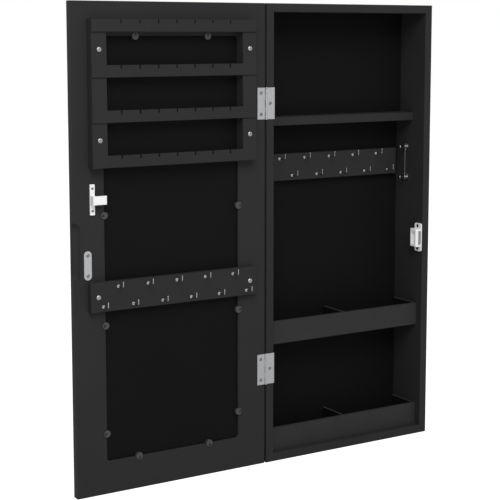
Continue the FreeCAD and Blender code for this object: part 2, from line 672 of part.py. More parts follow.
side_dowels = []
for side, edge in (("left", IN_LEFT), ("right", IN_RIGHT)):
    inward = "+" if side == "left" else "-"
    for y, z in dowel_places():
        start = f"{edge} - dowel_in_side" if side == "left" else f"{edge} - dowel_in_end"
        turn = FreeCAD.Rotation(FreeCAD.Vector(0, 1, 0), 90)
        side_dowels.append(rod(f"{side}_dowel", "dowel_radius", "dowel_in_side + dowel_in_end",
                               start, y, z, turn))
dowels = node(group("dowels", side_dowels), "carcass_dowels")
nails = node(copies("back_nail", nail, nail_places()), "back_panel_nails")
back_screws = node(copies("back_screw_copy", back_screw, back_screw_places), "hook_board_back_screws")
back_holes = copies("back_screw_bore", back_hole, back_screw_places)
hanger_screws = node(copies("hanger_screw", small_screw, hanger_places), "wall_hanger_screws")
hanger_holes = copies("hanger_bore", small_hole, hanger_places)
case_hinge_screws = node(copies("case_hinge_screw", small_screw, case_hinge_places), "cabinet_hinge_screws")
case_hinge_holes = copies("case_hinge_bore", small_hole, case_hinge_places)
catch_screws = node(copies("catch_screw", small_screw, catch_places), "catch_screws")
catch_holes = copies("catch_bore", small_hole, catch_places)
posts = []
for post_level, post_middle in post_middles:
    posts.append(copies(f"{post_level}_post", post, [(IN_RIGHT, BAR_Y, post_middle, TURN_LEFT)]))


def build_side(side):
    """A full-height side with its grooves, its rabbet for the back panel and its bores."""
    left = side == "left"
    x = (LEFT, IN_LEFT) if left else (IN_RIGHT, RIGHT)
    dado = (f"{IN_LEFT} - dado_depth", IN_LEFT) if left else (IN_RIGHT, f"{IN_RIGHT} + dado_depth")
    lap = (f"{IN_LEFT} - back_lap", IN_LEFT) if left else (IN_RIGHT, f"{IN_RIGHT} + back_lap")
    board = block(f"{side}_board", x, (FRONT, "0"), (BOTTOM, TOP))
    tools = [block(f"{side}_shelf_groove", dado, (SHELF_FACE, PANEL_FACE), (SHELF_LOW, SHELF_HIGH)),
             block(f"{side}_tray_groove", dado, (TRAY_INSIDE, PANEL_FACE), (TRAY_LOW, TRAY_FLOOR_HIGH)),
             block(f"{side}_back_rabbet", lap, (PANEL_FACE, "0"), (f"{IN_BOTTOM} - back_lap", SHELF_HIGH))]
    grooved = cut(f"{side}_grooved", board, [fuse(f"{side}_grooves", tools)])
    bores = [dowels, nails]
    bores += [case_hinge_holes] if left else [catch_holes] + posts
    return node(cut(f"{side}_side_cut", grooved, bores), f"{side}_side")


build_side("left")
build_side("right")

top_blank = block("top_blank", (IN_LEFT, IN_RIGHT), (FRONT, "0"), (IN_TOP, TOP))
node(cut("top_cut", top_blank, [dowels]), "top_board")

bottom_blank = block("bottom_blank", (IN_LEFT, IN_RIGHT), (FRONT, "0"), (BOTTOM, IN_BOTTOM))
bottom_rabbet = block("bottom_rabbet", (IN_LEFT, IN_RIGHT), (PANEL_FACE, "0"),
                      (f"{IN_BOTTOM} - back_lap", IN_BOTTOM))
bottom_grooved = cut("bottom_grooved", bottom_blank, [bottom_rabbet])
node(cut("bottom_cut", bottom_grooved, [dowels, nails]), "bottom_board")

shelf_blank = block("shelf_blank", HOUSED, (SHELF_FACE, PANEL_FACE), (SHELF_LOW, SHELF_HIGH))
node(cut("shelf_cut", shelf_blank, [nails]), "shelf")

panel_blank = block("panel_blank", (f"{IN_LEFT} - back_lap", f"{IN_RIGHT} + back_lap"), (PANEL_FACE, "0"),
                    (f"{IN_BOTTOM} - back_lap", SHELF_HIGH))
node(cut("panel_cut", panel_blank, [nails, back_holes]), "back_panel")


def build_hangers():
    """Two steel keyhole plates let into the back of the hanging board."""
    plates = []
    hollows = []
    entry_z = f"{TOP} - hanger_below_top"
    slot_z = f"{entry_z} + hanger_travel"
    for number, x in enumerate(hanger_middles, start=1):
        low = f"{HANGER_MIDDLE} - hanger_length/2"
        high = f"{HANGER_MIDDLE} + hanger_length/2"
        across = (f"{x} - hanger_width/2", f"{x} + hanger_width/2")
        plate = block(f"hanger_{number}_plate", across, ("-hanger_thick", "0"), (low, high))
        entry = rod(f"hanger_{number}_entry", "hanger_entry", "hanger_thick", x, "0", entry_z, TURN_FRONT)
        slot = block(f"hanger_{number}_slot", (f"{x} - hanger_slot", f"{x} + hanger_slot"),
                     ("-hanger_thick", "0"), (entry_z, slot_z))
        slot_end = rod(f"hanger_{number}_slot_end", "hanger_slot", "hanger_thick", x, "0", slot_z, TURN_FRONT)
        keyhole = fuse(f"hanger_{number}_keyhole", [entry, slot, slot_end])
        plates.append(cut(f"hanger_{number}_cut", plate, [keyhole]))
        wide = "(hanger_entry + hanger_hollow_wall)"
        seat = block(f"hanger_{number}_seat", across, ("-hanger_thick", "0"), (low, high))
        hollow = block(f"hanger_{number}_hollow", (f"{x} - {wide}", f"{x} + {wide}"), ("-hanger_hollow", "0"),
                       (f"{entry_z} - {wide}", f"{slot_z} + {wide}"))
        hollows.append(fuse(f"hanger_{number}_room", [seat, hollow]))
    plate_set = group("hanger_plates", plates)
    node(cut("hangers_cut", plate_set, [hanger_holes]), "wall_hangers")
    return group("hanger_rooms", hollows)


hanger_rooms = build_hangers()
hanging_blank = block("hanging_blank", (IN_LEFT, IN_RIGHT), ("-hanging_board_thick", "0"),
                      (SHELF_HIGH, IN_TOP))
hanging_roomed = cut("hanging_roomed", hanging_blank, [hanger_rooms])
hanging_bored = cut("hanging_bored", hanging_roomed, [hanger_holes])
node(cut("hanging_cut", hanging_bored, [dowels]), "hanging_board")


def build_tray(name, low, high, floor):
    """A tray front with its middle divider and its two end walls."""
    front = block(f"{name}_front_blank", (IN_LEFT, IN_RIGHT), (TRAY_FACE, TRAY_INSIDE), (low, high))
    node(front, f"{name}_tray_front")
    depth = (TRAY_INSIDE, PANEL_FACE)
    half = "tray_wall_thick/2"
    node(block(f"{name}_divider_wall", (f"-{half}", half), depth, (floor, high)), f"{name}_tray_divider")
    node(block(f"{name}_left_wall", (IN_LEFT, f"{IN_LEFT} + tray_wall_thick"), depth, (floor, high)),
         f"{name}_tray_left_end")
    node(block(f"{name}_right_wall", (f"{IN_RIGHT} - tray_wall_thick", IN_RIGHT), depth, (floor, high)),
         f"{name}_tray_right_end")


build_tray("upper", TRAY_LOW, TRAY_HIGH, TRAY_FLOOR_HIGH)
build_tray("lower", IN_BOTTOM, f"{IN_BOTTOM} + tray_height", IN_BOTTOM)
node(block("tray_floor_board", HOUSED, (TRAY_INSIDE, PANEL_FACE), (TRAY_LOW, TRAY_FLOOR_HIGH)),
     "upper_tray_floor")


# ---------------------------------------------------------------- hook boards

def hook_places(middle_x, face, middle_z):
    """Two staggered rows of hooks on one board."""
    found = []
    for count, sign in ((UPPER_HOOKS, "+"), (LOWER_HOOKS, "-")):
        level = f"{middle_z} {sign} hook_row_offset"
        for number in range(count):
            steps = number - (count - 1)/2
            found.append((f"{middle_x} + {steps}*{HOOK_PITCH}", face, level, UPRIGHT))
    return found


def build_hook_board(name, middle_x, back, face, low, fixing_holes):
    middle = f"{low} + hook_board_height/2"
    places = hook_places(middle_x, face, middle)
    hooks = node(copies(f"{name}_hook", hook, places), f"{name}_hooks")
    across = (f"{middle_x} - {HOOK_BOARD_WIDTH}/2", f"{middle_x} + {HOOK_BOARD_WIDTH}/2")
    blank = block(f"{name}_hook_blank", across, (face, back), (low, f"{low} + hook_board_height"))
    drilled = cut(f"{name}_hook_drilled", blank, [fixing_holes])
    node(cut(f"{name}_hook_board_cut", drilled, [hooks]), f"{name}_hook_board")


build_hook_board("cabinet", "0", PANEL_FACE, CASE_BOARD_FACE, CASE_BOARD_LOW, back_holes)


# ---------------------------------------------------------------- magnetic catch

def build_catch():
    """White housing with a flange, a magnet between two steel plates, and its screws."""
    body = new_body("catch_body")
    front = CATCH_FRONT
    x = (f"{IN_RIGHT} - catch_width", IN_RIGHT)
    z = (f"{CATCH_MIDDLE} - catch_length/2", f"{CATCH_MIDDLE} + catch_length/2")
    sketch = rectangle(new_sketch(body, "XZ_Plane", f"-({front})"), x, z)
    add(body, "Pad", sketch, "catch_depth", flip=True)
    inner = body.Shape.BoundBox.XMin
    soften(body, "catch_round", lambda edge: flat(edge, 0, inner) and not along(edge, 0))
    flange_y = (front, f"{front} + flange_depth")
    flange_z = (f"{CATCH_MIDDLE} - flange_length/2", f"{CATCH_MIDDLE} + flange_length/2")
    plate = new_body("catch_flange")
    outline = rectangle(new_sketch(plate, "YZ_Plane", FLANGE_FACE), flange_y, flange_z)
    add(plate, "Pad", outline, "flange_thick")
    soften(plate, "flange_round", lambda edge: along(edge, 0))
    solid = fuse("catch_solid", [body, plate])
    pole_front = f"{FRONT} - door_gap + strike_thick + strike_air"
    pole_back = f"{pole_front} + magnet_step + magnet_depth"
    half_pack = "(magnet_thick/2 + pole_thick)"
    height = (f"{CATCH_MIDDLE} - magnet_length/2", f"{CATCH_MIDDLE} + magnet_length/2")
    room = block("catch_room", (f"{MAGNET_X} - {half_pack}", f"{MAGNET_X} + {half_pack}"),
                 (pole_front, pole_back), (f"{height[0]} - magnet_fit", f"{height[1]} + magnet_fit"))
    window = block("catch_window", (f"{x[0]} - {PAST}", f"{MAGNET_X} - {half_pack}"),
                   (f"{front} + (catch_depth - catch_window_depth)/2",
                    f"{front} + (catch_depth + catch_window_depth)/2"),
                   (f"{CATCH_MIDDLE} - catch_window_length/2", f"{CATCH_MIDDLE} + catch_window_length/2"))
    hollowed = cut("catch_hollowed", solid, [fuse("catch_rooms", [room, window])])
    node(cut("catch_housing_cut", hollowed, [catch_holes]), "catch_housing")
    node(block("magnet_block", (f"{MAGNET_X} - magnet_thick/2", f"{MAGNET_X} + magnet_thick/2"),
               (f"{pole_front} + magnet_step", pole_back), height), "catch_magnet")
    plates = [block("pole_left", (f"{MAGNET_X} - {half_pack}", f"{MAGNET_X} - magnet_thick/2"),
                    (pole_front, pole_back), height),
              block("pole_right", (f"{MAGNET_X} + magnet_thick/2", f"{MAGNET_X} + {half_pack}"),
                    (pole_front, pole_back), height)]
    node(group("pole_plates", plates), "catch_pole_plates")


build_catch()


# ---------------------------------------------------------------- hanging bar

# a thin upright rod through two posts that are screwed into the right side
bar = node(rod("bar_rod", "bar_radius", "bar_length", BAR_X, BAR_Y, BAR_Z), "hanging_bar")
for (post_level, _), whole_post in zip(post_middles, posts):
    node(cut(f"{post_level}_post_cut", whole_post, [bar]), f"hanging_bar_{post_level}_post")


# ---------------------------------------------------------------- hinges

def build_hinge(level, middle):
    """Two leaves whose knuckles take turns along one pin."""
    low = f"{middle} - hinge_height/2"
    pitch = f"hinge_height/{KNUCKLES}"
    plate_start = "knuckle_radius + knuckle_clearance"
    leaf_y = (LEAF_FACE, FRONT)
    leaves = (("cabinet", 1, 0, case_hinge_holes, "pin_radius"),
              ("door", -1, 1, door_hinge_holes, "pin_radius + pin_clearance"))
    for owner, side, parity, holes, bore in leaves:
        def across(near, far):
            if side > 0:
                return (f"{AXIS_X} + {near}", f"{AXIS_X} + {far}")
            return (f"{AXIS_X} - ({far})", f"{AXIS_X} - ({near})")
        pieces = [block(f"{level}_{owner}_leaf_plate", across(plate_start, "leaf_width"), leaf_y,
                        (low, f"{low} + hinge_height"))]
        for knuckle in range(parity, KNUCKLES, 2):
            start = f"{low} + {knuckle}*{pitch} + knuckle_gap/2"
            end = f"{low} + {knuckle + 1}*{pitch} - knuckle_gap/2"
            pieces.append(block(f"{level}_{owner}_tab", across("0", plate_start), leaf_y, (start, end)))
            pieces.append(rod(f"{level}_{owner}_knuckle", "knuckle_radius", f"{pitch} - knuckle_gap",
                              AXIS_X, AXIS_Y, start))
        whole = fuse(f"{level}_{owner}_leaf_whole", pieces)
        passage = rod(f"{level}_{owner}_bore", bore, "hinge_height", AXIS_X, AXIS_Y, low)
        bored = cut(f"{level}_{owner}_leaf_bored", whole, [passage])
        node(cut(f"{level}_{owner}_leaf_cut", bored, [holes]), f"{level}_hinge_{owner}_leaf")
    shaft = rod(f"{level}_pin_shaft", "pin_radius", "hinge_height + 2*pin_head", AXIS_X, AXIS_Y,
                f"{low} - pin_head")
    foot = rod(f"{level}_pin_foot", "knuckle_radius", "pin_head", AXIS_X, AXIS_Y, f"{low} - pin_head")
    head = rod(f"{level}_pin_head", "knuckle_radius", "pin_head", AXIS_X, AXIS_Y, f"{low} + hinge_height")
    node(fuse(f"{level}_pin", [shaft, foot, head]), f"{level}_hinge_pin")


door_hinge_screws = node(copies("door_hinge_screw", small_screw, door_hinge_places), "door_hinge_screws")
door_hinge_holes = copies("door_hinge_bore", small_hole, door_hinge_places)
for hinge_level, hinge_middle in hinge_middles():
    build_hinge(hinge_level, hinge_middle)


# ---------------------------------------------------------------- strike plate and plastic hook

strike_screws = node(copies("strike_screw", small_screw, strike_places), "strike_screws")
strike_holes = copies("strike_bore", small_hole, strike_places)
tongue_screws = node(copies("tongue_screw", clip_screw, tongue_places), "tongue_hook_screws")
tongue_holes = copies("tongue_bore", clip_hole, tongue_places)


def build_strike():
    """A flat plate with round ends."""
    half = "strike_width/2"
    straight = "(strike_length - strike_width)/2"
    ends = (f"{STRIKE_Z} - {straight}", f"{STRIKE_Z} + {straight}")
    pieces = [block("strike_middle_part", (f"{STRIKE_X} - {half}", f"{STRIKE_X} + {half}"),
                    (f"{FRONT} - strike_thick", FRONT), ends)]
    for end in ends:
        pieces.append(rod("strike_end", half, "strike_thick", STRIKE_X, FRONT, end, TURN_FRONT))
    node(cut("strike_cut", fuse("strike_whole", pieces), [strike_holes]), "strike_plate")


def build_tongue_hook():
    """A base plate with an L-shaped tongue that reaches towards the hinges."""
    plate = new_body("tongue_base")
    x = (TONGUE_X, f"{TONGUE_X} + tongue_plate_width")
    z = (f"{TONGUE_TOP} - tongue_plate_length", TONGUE_TOP)
    add(plate, "Pad", rectangle(new_sketch(plate, "XZ_Plane", f"-({FRONT})"), x, z), "tongue_plate_thick")
    soften(plate, "tongue_plate_round", lambda edge: along(edge, 1))
    tongue = new_body("tongue_arm")
    start = f"{TONGUE_X} + tongue_inset"
    post = f"{TONGUE_X} + tongue_plate_width - tongue_inset"
    end = f"{start} + tongue_reach"
    outer = f"{FRONT} - tongue_stand"
    under = f"{outer} + tongue_thick"
    profile = [(start, FRONT), (post, FRONT), (post, under), (end, under), (end, outer), (start, outer)]
    sketch = polygon(new_sketch(tongue, "XY_Plane", f"{z[0]} + tongue_rise"), profile)
    add(tongue, "Pad", sketch, "tongue_height")
    face = tongue.Shape.BoundBox.YMin
    soften(tongue, "tongue_round", lambda edge: flat(edge, 1, face))
    whole = fuse("tongue_whole", [plate, tongue])
    node(cut("tongue_cut", whole, [tongue_holes]), "tongue_hook")


build_strike()
build_tongue_hook()


# ---------------------------------------------------------------- door

board_screws = node(copies("board_screw_copy", board_screw, board_places), "door_hook_board_screws")
board_holes = copies("board_screw_bore", board_hole, board_places)
rack_screws = node(copies("rack_screw_copy", rack_screw, rack_places), "earring_rack_screws")
rack_holes = copies("rack_screw_bore", rack_hole, rack_places)
clip_screw_places = []
clip_disc_places = []
for clip_x, clip_z, clip_turn in clip_places():
    screw_x, screw_z = outward(clip_x, clip_z, clip_turn, "clip_screw_offset")
    clip_screw_places.append((screw_x, f"{FRONT} - clip_thick", screw_z, TURN_FRONT))
    clip_disc_places.append((clip_x, FRONT, clip_z, FreeCAD.Rotation(FreeCAD.Vector(0, 1, 0), clip_turn)))
clip_screws = node(copies("clip_screw_copy", clip_screw, clip_screw_places), "mirror_clip_screws")
clip_holes = copies("clip_screw_bore", clip_hole, clip_screw_places)


def rounded_panel(name, inset, near, far):
    """The mirror opening's outline, drawn in by an inset, between two depths."""
    body = new_body(name)
    half_wide = f"({HALF_OPENING_WIDE} - {inset})"
    half_high = f"({HALF_OPENING_HIGH} - {inset})"
    sketch = rectangle(new_sketch(body, "XZ_Plane", f"-({near})"),
                       (f"{DOOR_MIDDLE} - {half_wide}", f"{DOOR_MIDDLE} + {half_wide}"),
                       (f"-{half_high}", half_high))
    add(body, "Pad", sketch, f"({far}) - ({near})", flip=True)
    soften(body, "opening_radius", lambda edge: along(edge, 1))
    return body


LIP_FACE = f"{DOOR_BACK} - mirror_lip_thick"
BACKER_REAR = f"{LIP_FACE} - glass_thick"
BACKER_FACE = f"{BACKER_REAR} - backer_thick"


def build_door_frame():
    """One board with a stepped opening for the mirror and a hollow for the fingers."""
    body = new_body("door_board")
    outline = rectangle(new_sketch(body, "XZ_Plane", f"-({FRONT})"), (DOOR_LEFT, DOOR_RIGHT), (BOTTOM, TOP))
    add(body, "Pad", outline, "door_thick", flip=True)
    box = body.Shape.BoundBox
    soften(body, "door_edge_round",
           lambda edge: flat(edge, 1, box.YMin) or flat(edge, 1, box.YMax) or along(edge, 1))
    rebate = rounded_panel("door_rebate", "0", FRONT, LIP_FACE)
    window = rounded_panel("door_window", "mirror_lip_width", FRONT, DOOR_BACK)
    scoop_y = f"{FRONT} - pull_offset"
    ends = ("pull_rise - pull_length/2 + pull_radius", "pull_rise + pull_length/2 - pull_radius")
    hollow = [rod("pull_scoop", "pull_radius", "pull_length - 2*pull_radius", DOOR_LEFT, scoop_y, ends[0])]
    for height in ends:
        ball = doc.addObject("Part::Sphere", "pull_ball")
        bind(ball, "Radius", "pull_radius")
        hollow.append(place(ball, DOOR_LEFT, scoop_y, height))
    rebated = cut("door_rebated", body, [rebate])
    opened = cut("door_opened", rebated, [window])
    scooped = cut("door_scooped", opened, [fuse("pull_hollow", hollow)])
    bores = [door_hinge_holes, strike_holes, tongue_holes, board_holes, rack_holes, clip_holes]
    node(cut("door_frame_cut", scooped, bores), "door_frame")


def build_mirror():
    """The glass on the lip, and the panel that backs it."""
    node(rounded_panel("glass_sheet", "glass_clearance", BACKER_REAR, LIP_FACE), "mirror_glass")
    node(rounded_panel("backer_sheet", "glass_clearance", BACKER_FACE, BACKER_REAR), "mirror_backing")


def build_clips():
    """Round clips that sit half on the frame, with a foot that holds the backing panel."""
    disc = rod("clip_disc", "clip_radius", "clip_thick", "0", "0", "0", TURN_FRONT)
    full_foot = rod("clip_foot_full", "clip_radius", f"{BACKER_FACE} - ({FRONT})", "0",
                    f"{BACKER_FACE} - ({FRONT})", "0", TURN_FRONT)
    inner_half = block("clip_inner_half", ("-clip_radius", "-clip_clearance"),
                       ("0", f"{BACKER_FACE} - ({FRONT})"), ("-clip_radius", "clip_radius"))
    foot = doc.addObject("Part::Common", "clip_foot")
    foot.Base = full_foot
    foot.Tool = inner_half
    clip = fuse("clip", [disc, foot])
    drilled = cut("clips_cut", copies("clip_copy", clip, clip_disc_places), [clip_holes])
    node(drilled, "mirror_clips")


build_door_frame()
build_mirror()
build_clips()


# ---------------------------------------------------------------- earring rack

def tier_faces(step):
    """Depths and heights of one tier: its foot stands out further than its head."""
    low = f"{RACK_LOW} + {step}*tier_height"
    high = f"{RACK_LOW} + {step + 1}*tier_height"
    return low, high


def cut_slots(body, top, name):
    """A row of earring slots in a plate's upper edge."""
    first = f"{DOOR_MIDDLE} - {(SLOTS_PER_RAIL - 1) / 2}*{SLOT_PITCH}"
    sketch = rectangle(new_sketch(body, "XZ_Plane", f"-({RACK_FACE}) + {PAST}"),
                       (f"{first} - slot_width/2", f"{first} + slot_width/2"),
                       (f"{top} - slot_depth", f"{top} + {PAST}"))
    slot = add(body, "Pocket", sketch)
    row = body.newObject("PartDesign::LinearPattern", name)
    row.Originals = [slot]
    row.Direction = (sketch, ["H_Axis"])
    bind(row, "Length", f"{SLOTS_PER_RAIL - 1}*{SLOT_PITCH}")
    row.Occurrences = SLOTS_PER_RAIL
    body.Tip = row
    doc.recompute()


def build_tier(step):
    """A U-shaped plate that leans out at its foot, with slots in its rail."""
    low, high = tier_faces(step)
    body = new_body(f"tier_{step + 1}")
    head = f"{RACK_FACE} + rack_lean"
    rear = f"{RACK_FACE} + rack_plate"
    side = [(RACK_FACE, low), (rear, low), (f"{rear} + rack_lean", high), (head, high)]
    add(body, "Pad", polygon(new_sketch(body, "YZ_Plane", RACK_LEFT), side), RACK_WIDTH)
    rail = f"{low} + tier_rail"
    window = rectangle(new_sketch(body, "XZ_Plane", f"-({RACK_FACE}) + {PAST}"),
                       (f"{RACK_LEFT} + tier_stile", f"{RACK_RIGHT} - tier_stile"),
                       (rail, f"{high} + {PAST}"))
    add(body, "Pocket", window)
    cut_slots(body, rail, f"tier_{step + 1}_slots")
    bored = cut(f"tier_{step + 1}_cut", body, [rack_holes]) if step in (0, TIERS - 1) else body
    node(bored, f"earring_rack_tier_{TIERS - step}")


def build_rack():
    """Two uprights on the door, with three tiers and a head strip on their stepped fronts."""
    top = f"{RACK_TOP} - rack_head_height"
    end = RACK_TOP
    head = new_body("rack_head")
    flat_side = [(RACK_FACE, top), (f"{RACK_FACE} + rack_plate", top), (f"{RACK_FACE} + rack_plate", end),
                 (RACK_FACE, end)]
    add(head, "Pad", polygon(new_sketch(head, "YZ_Plane", RACK_LEFT), flat_side), RACK_WIDTH)
    cut_slots(head, end, "head_slots")
    node(head, "earring_rack_head_strip")
    for step in range(TIERS):
        build_tier(step)
    steps = []
    for step in range(TIERS):
        low, high = tier_faces(step)
        steps += [(f"{RACK_FACE} + rack_plate", low), (f"{RACK_FACE} + rack_plate + rack_lean", high)]
    outline = steps + [(f"{RACK_FACE} + rack_plate", top), (f"{RACK_FACE} + rack_plate", end), (FRONT, end),
                       (FRONT, RACK_LOW)]
    for side, start in (("left", RACK_LEFT), ("right", f"{RACK_RIGHT} - tier_stile")):
        upright = new_body(f"rack_{side}_upright")
        add(upright, "Pad", polygon(new_sketch(upright, "YZ_Plane", start), outline), "tier_stile")
        node(cut(f"rack_{side}_cut", upright, [rack_holes]), f"earring_rack_{side}_upright")


build_rack()
build_hook_board("door", DOOR_MIDDLE, FRONT, DOOR_BOARD_FACE, DOOR_BOARD_LOW, board_holes)


# ---------------------------------------------------------------- check and write

doc.recompute()
faults = []
for thing in doc.Objects:
    if "Invalid" in thing.State or "Error" in thing.State:
        faults.append(f"{thing.Name}: {thing.State}")
for piece in NODES:
    if piece.Shape.isNull() or not piece.Shape.isValid() or not piece.Shape.Solids:
        faults.append(f"{piece.Label}: no valid solid")
if faults:
    raise RuntimeError("; ".join(faults))

os.makedirs("parts", exist_ok=True)
for piece in NODES:
    piece.Shape.exportStep(os.path.join("parts", piece.Label + ".step"))
    print(f"{piece.Label}: {len(piece.Shape.Solids)} solids, {piece.Shape.Volume:.1f} mm3")
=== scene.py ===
"""Looks of a wall-mounted jewellery cabinet whose mirror door is folded right back.

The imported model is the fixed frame.  Its boards, fittings and screws keep their shape and get the
finishes made here.  Lengths are in metres, in the model's own frame: +X right, +Y to the wall, +Z up.
"""

import math

import bpy
from bpy.props import FloatProperty, FloatVectorProperty, PointerProperty
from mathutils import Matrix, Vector


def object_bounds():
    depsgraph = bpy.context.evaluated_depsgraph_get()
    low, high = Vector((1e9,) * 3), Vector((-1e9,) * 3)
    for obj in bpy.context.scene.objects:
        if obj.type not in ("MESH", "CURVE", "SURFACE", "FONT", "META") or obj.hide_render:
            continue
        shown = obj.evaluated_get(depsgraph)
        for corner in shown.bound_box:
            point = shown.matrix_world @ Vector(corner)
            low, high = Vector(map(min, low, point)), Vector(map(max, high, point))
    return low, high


bl_info = {
    "name": "Jewellery cabinet finishes",
    "version": (1, 0, 0),
    "blender": (4, 5, 0),
    "location": "View3D > Sidebar > Jewellery cabinet",
    "description": "Dresses a jewellery cabinet's boards, mirror and fittings",
    "category": "Object",
}

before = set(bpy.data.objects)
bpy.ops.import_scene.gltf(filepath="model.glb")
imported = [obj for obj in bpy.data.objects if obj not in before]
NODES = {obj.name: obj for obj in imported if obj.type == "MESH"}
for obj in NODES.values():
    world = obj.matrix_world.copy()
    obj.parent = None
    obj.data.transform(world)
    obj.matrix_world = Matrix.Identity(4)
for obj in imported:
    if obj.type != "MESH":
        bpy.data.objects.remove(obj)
CAD_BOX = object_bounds()


# ---------------------------------------------------------------- settings

def tint(name, description, red, green, blue):
    """A colour property."""
    return FloatVectorProperty(name=name, description=description, subtype="COLOR", size=3,
                               min=0.0, max=1.0, default=(red, green, blue))


def length(name, description, default):
    """A length property, in metres."""
    return FloatProperty(name=name, description=description, unit="LENGTH", precision=5, min=0.0,
                         default=default)


def share(name, description, default):
    """A property that runs from none to all."""
    return FloatProperty(name=name, description=description, subtype="FACTOR", min=0.0, max=1.0,
                         default=default)


def turn(name, description, degrees):
    """An angle property, with its default given in degrees."""
    return FloatProperty(name=name, description=description, subtype="ANGLE",
                         default=math.radians(degrees))


class CabinetColours(bpy.types.PropertyGroup):
    """Colours of the cabinet's finishes."""
    foil: tint("Board foil", "Black foil on the boards, the door and the rack", 0.0282, 0.0282, 0.0285)
    # The tray foil is a paler copy of the board foil: painted light that lifts the shade on the recessed
    # tray fronts.
    tray: tint("Tray foil", "Black foil on the tray fronts", 0.0348, 0.0348, 0.0351)
    divider: tint("Tray walls", "Thin painted walls inside the trays", 0.0075, 0.0075, 0.0076)
    # Painted highlight: the colour that the tray walls' upward faces get in place of the light from
    # above.
    divider_top_highlight: tint("Tray wall edges", "Painted highlight on the tray walls' upper faces", 0.06, 0.06, 0.061)
    panel: tint("Back panel", "Painted hardboard behind the shelves", 0.0062, 0.0062, 0.0063)
    backing: tint("Mirror backing", "Hardboard behind the mirror", 0.0062, 0.0062, 0.0063)
    silver: tint("Mirror", "Silvered glass", 0.86, 0.88, 0.88)
    clip: tint("Mirror clips", "Smoky plastic of the mirror clips", 0.046, 0.046, 0.047)
    white: tint("White plastic", "Catch housing and tongue hook", 0.93, 0.933, 0.936)
    # Painted light: the magnet's grey is lighter than ferrite, lifting the shade in the catch's window.
    ferrite: tint("Magnet", "Pressed ferrite of the catch's magnet", 0.28, 0.277, 0.271)
    zinc: tint("Zinc plate", "Hangers, pole plates, nails and bright screws", 0.42, 0.427, 0.441)
    strike: tint("Dull zinc", "Strike plate on the door", 0.53, 0.535, 0.546)
    nickel: tint("Hinge nickel", "Satin nickel on the hinges", 0.5, 0.503, 0.511)
    # Painted shade: the sunk screws' zinc is darkened for the shade round their sunk heads.
    sunk: tint("Shaded sunk screws", "Screws of the strike plate, hinges and tongue hook", 0.28, 0.284, 0.291)
    chrome: tint("Chrome", "Hooks and hanging bar", 0.44, 0.444, 0.452)
    # Painted reflection on the catch: its zinc screws take this dark colour for the dark surroundings
    # that they mirror.
    dark_screw_tone: tint("Dark screws", "Screws of the catch and the mirror clips", 0.055, 0.055, 0.057)
    beech: tint("Beech", "Wooden dowels", 0.56, 0.38, 0.22)


class CabinetDetail(bpy.types.PropertyGroup):
    """Scale and depth of the surface detail."""
    board_edge: length("Board edge rounding", "How wide the boards' edges look rounded", 0.0007)
    metal_edge: length("Metal edge rounding", "How wide the metal pieces' edges look rounded", 0.00025)
    plastic_edge: length("Plastic edge rounding", "How wide the plastic pieces' edges look rounded",
                         0.0004)
    pore: length("Foil pore", "Size of the pores in the boards' foil", 0.0006)
    fibre: length("Hardboard fibre", "Size of the fibres in the hardboard", 0.0009)
    spark: length("Mould texture", "Size of the texture of moulded plastic", 0.0004)
    brush: length("Brush line", "Width of the brush lines on the metal", 0.00012)
    foil_wear: share("Foil wear", "How far the foil's edges are rubbed", 0.35)
    metal_wear: share("Metal wear", "How far the metal's edges are polished", 0.5)


class CabinetStage(bpy.types.PropertyGroup):
    """Floor, light and camera."""
    floor_width: length("Floor width", "Side of the square floor", 14.0)
    floor_glow: share("Floor glow", "Plain white added to what the camera sees of the floor", 0.7)
    surround: FloatProperty(name="Surround", description="Strength of the light from all round",
                            min=0.0, default=0.42)
    key_power: FloatProperty(name="Key power", description="Power of the large soft lamp",
                             unit="POWER", min=0.0, default=60.0)
    key_width: length("Key width", "Side of the large soft lamp", 1.8)
    key_reach: length("Key distance", "Distance of the large soft lamp from the cabinet", 3.2)
    key_heading: turn("Key heading", "Lamp turned to the cabinet's right, seen from the front", -24)
    key_height: turn("Key height", "Lamp's angle above the horizon", 42)
    camera_place: FloatVectorProperty(name="Camera", description="Place of the camera",
                                      subtype="TRANSLATION", size=3, default=(-1.1836, -1.6852, 0.2904))
    camera_heading: turn("Camera heading", "Camera turned to the right", 31.92)
    camera_tilt: turn("Camera tilt", "Camera tilted down", 7.05)
    camera_lens: FloatProperty(name="Lens", description="Focal length on a 36 mm sensor",
                               unit="CAMERA", default=96.7)
    camera_lift: FloatProperty(name="Lens shift", description="Shift of the picture, in picture widths",
                               default=-0.098)


# ---------------------------------------------------------------- node helpers

def add_node(tree, kind, **values):
    """A node with some of its own settings."""
    made = tree.nodes.new(kind)
    for key, value in values.items():
        setattr(made, key, value)
    return made


def feed(tree, value, socket):
    """Link a socket into an input, or set the input to a plain value."""
    if isinstance(value, bpy.types.NodeSocket):
        tree.links.new(value, socket)
    else:
        socket.default_value = value


def new_group(name, inputs, outputs):
    """An empty shader node group, with the sockets that stand for its inputs and outputs inside."""
    tree = bpy.data.node_groups.new(name, "ShaderNodeTree")
    for label, kind, default in inputs:
        socket = tree.interface.new_socket(name=label, in_out="INPUT", socket_type=kind)
        if default is not None:
            socket.default_value = default
    for label, kind in outputs:
        tree.interface.new_socket(name=label, in_out="OUTPUT", socket_type=kind)
    return tree, add_node(tree, "NodeGroupInput").outputs, add_node(tree, "NodeGroupOutput").inputs


def use_group(tree, name, **values):
    """A group placed in a material, with its own values or links."""
    placed = add_node(tree, "ShaderNodeGroup", node_tree=bpy.data.node_groups[name])
    for label, value in values.items():
        feed(tree, value, placed.inputs[label])
    return placed


# Wherever the helpers below take a socket, they also take a plain number, or the numbers of a colour
# or a direction.

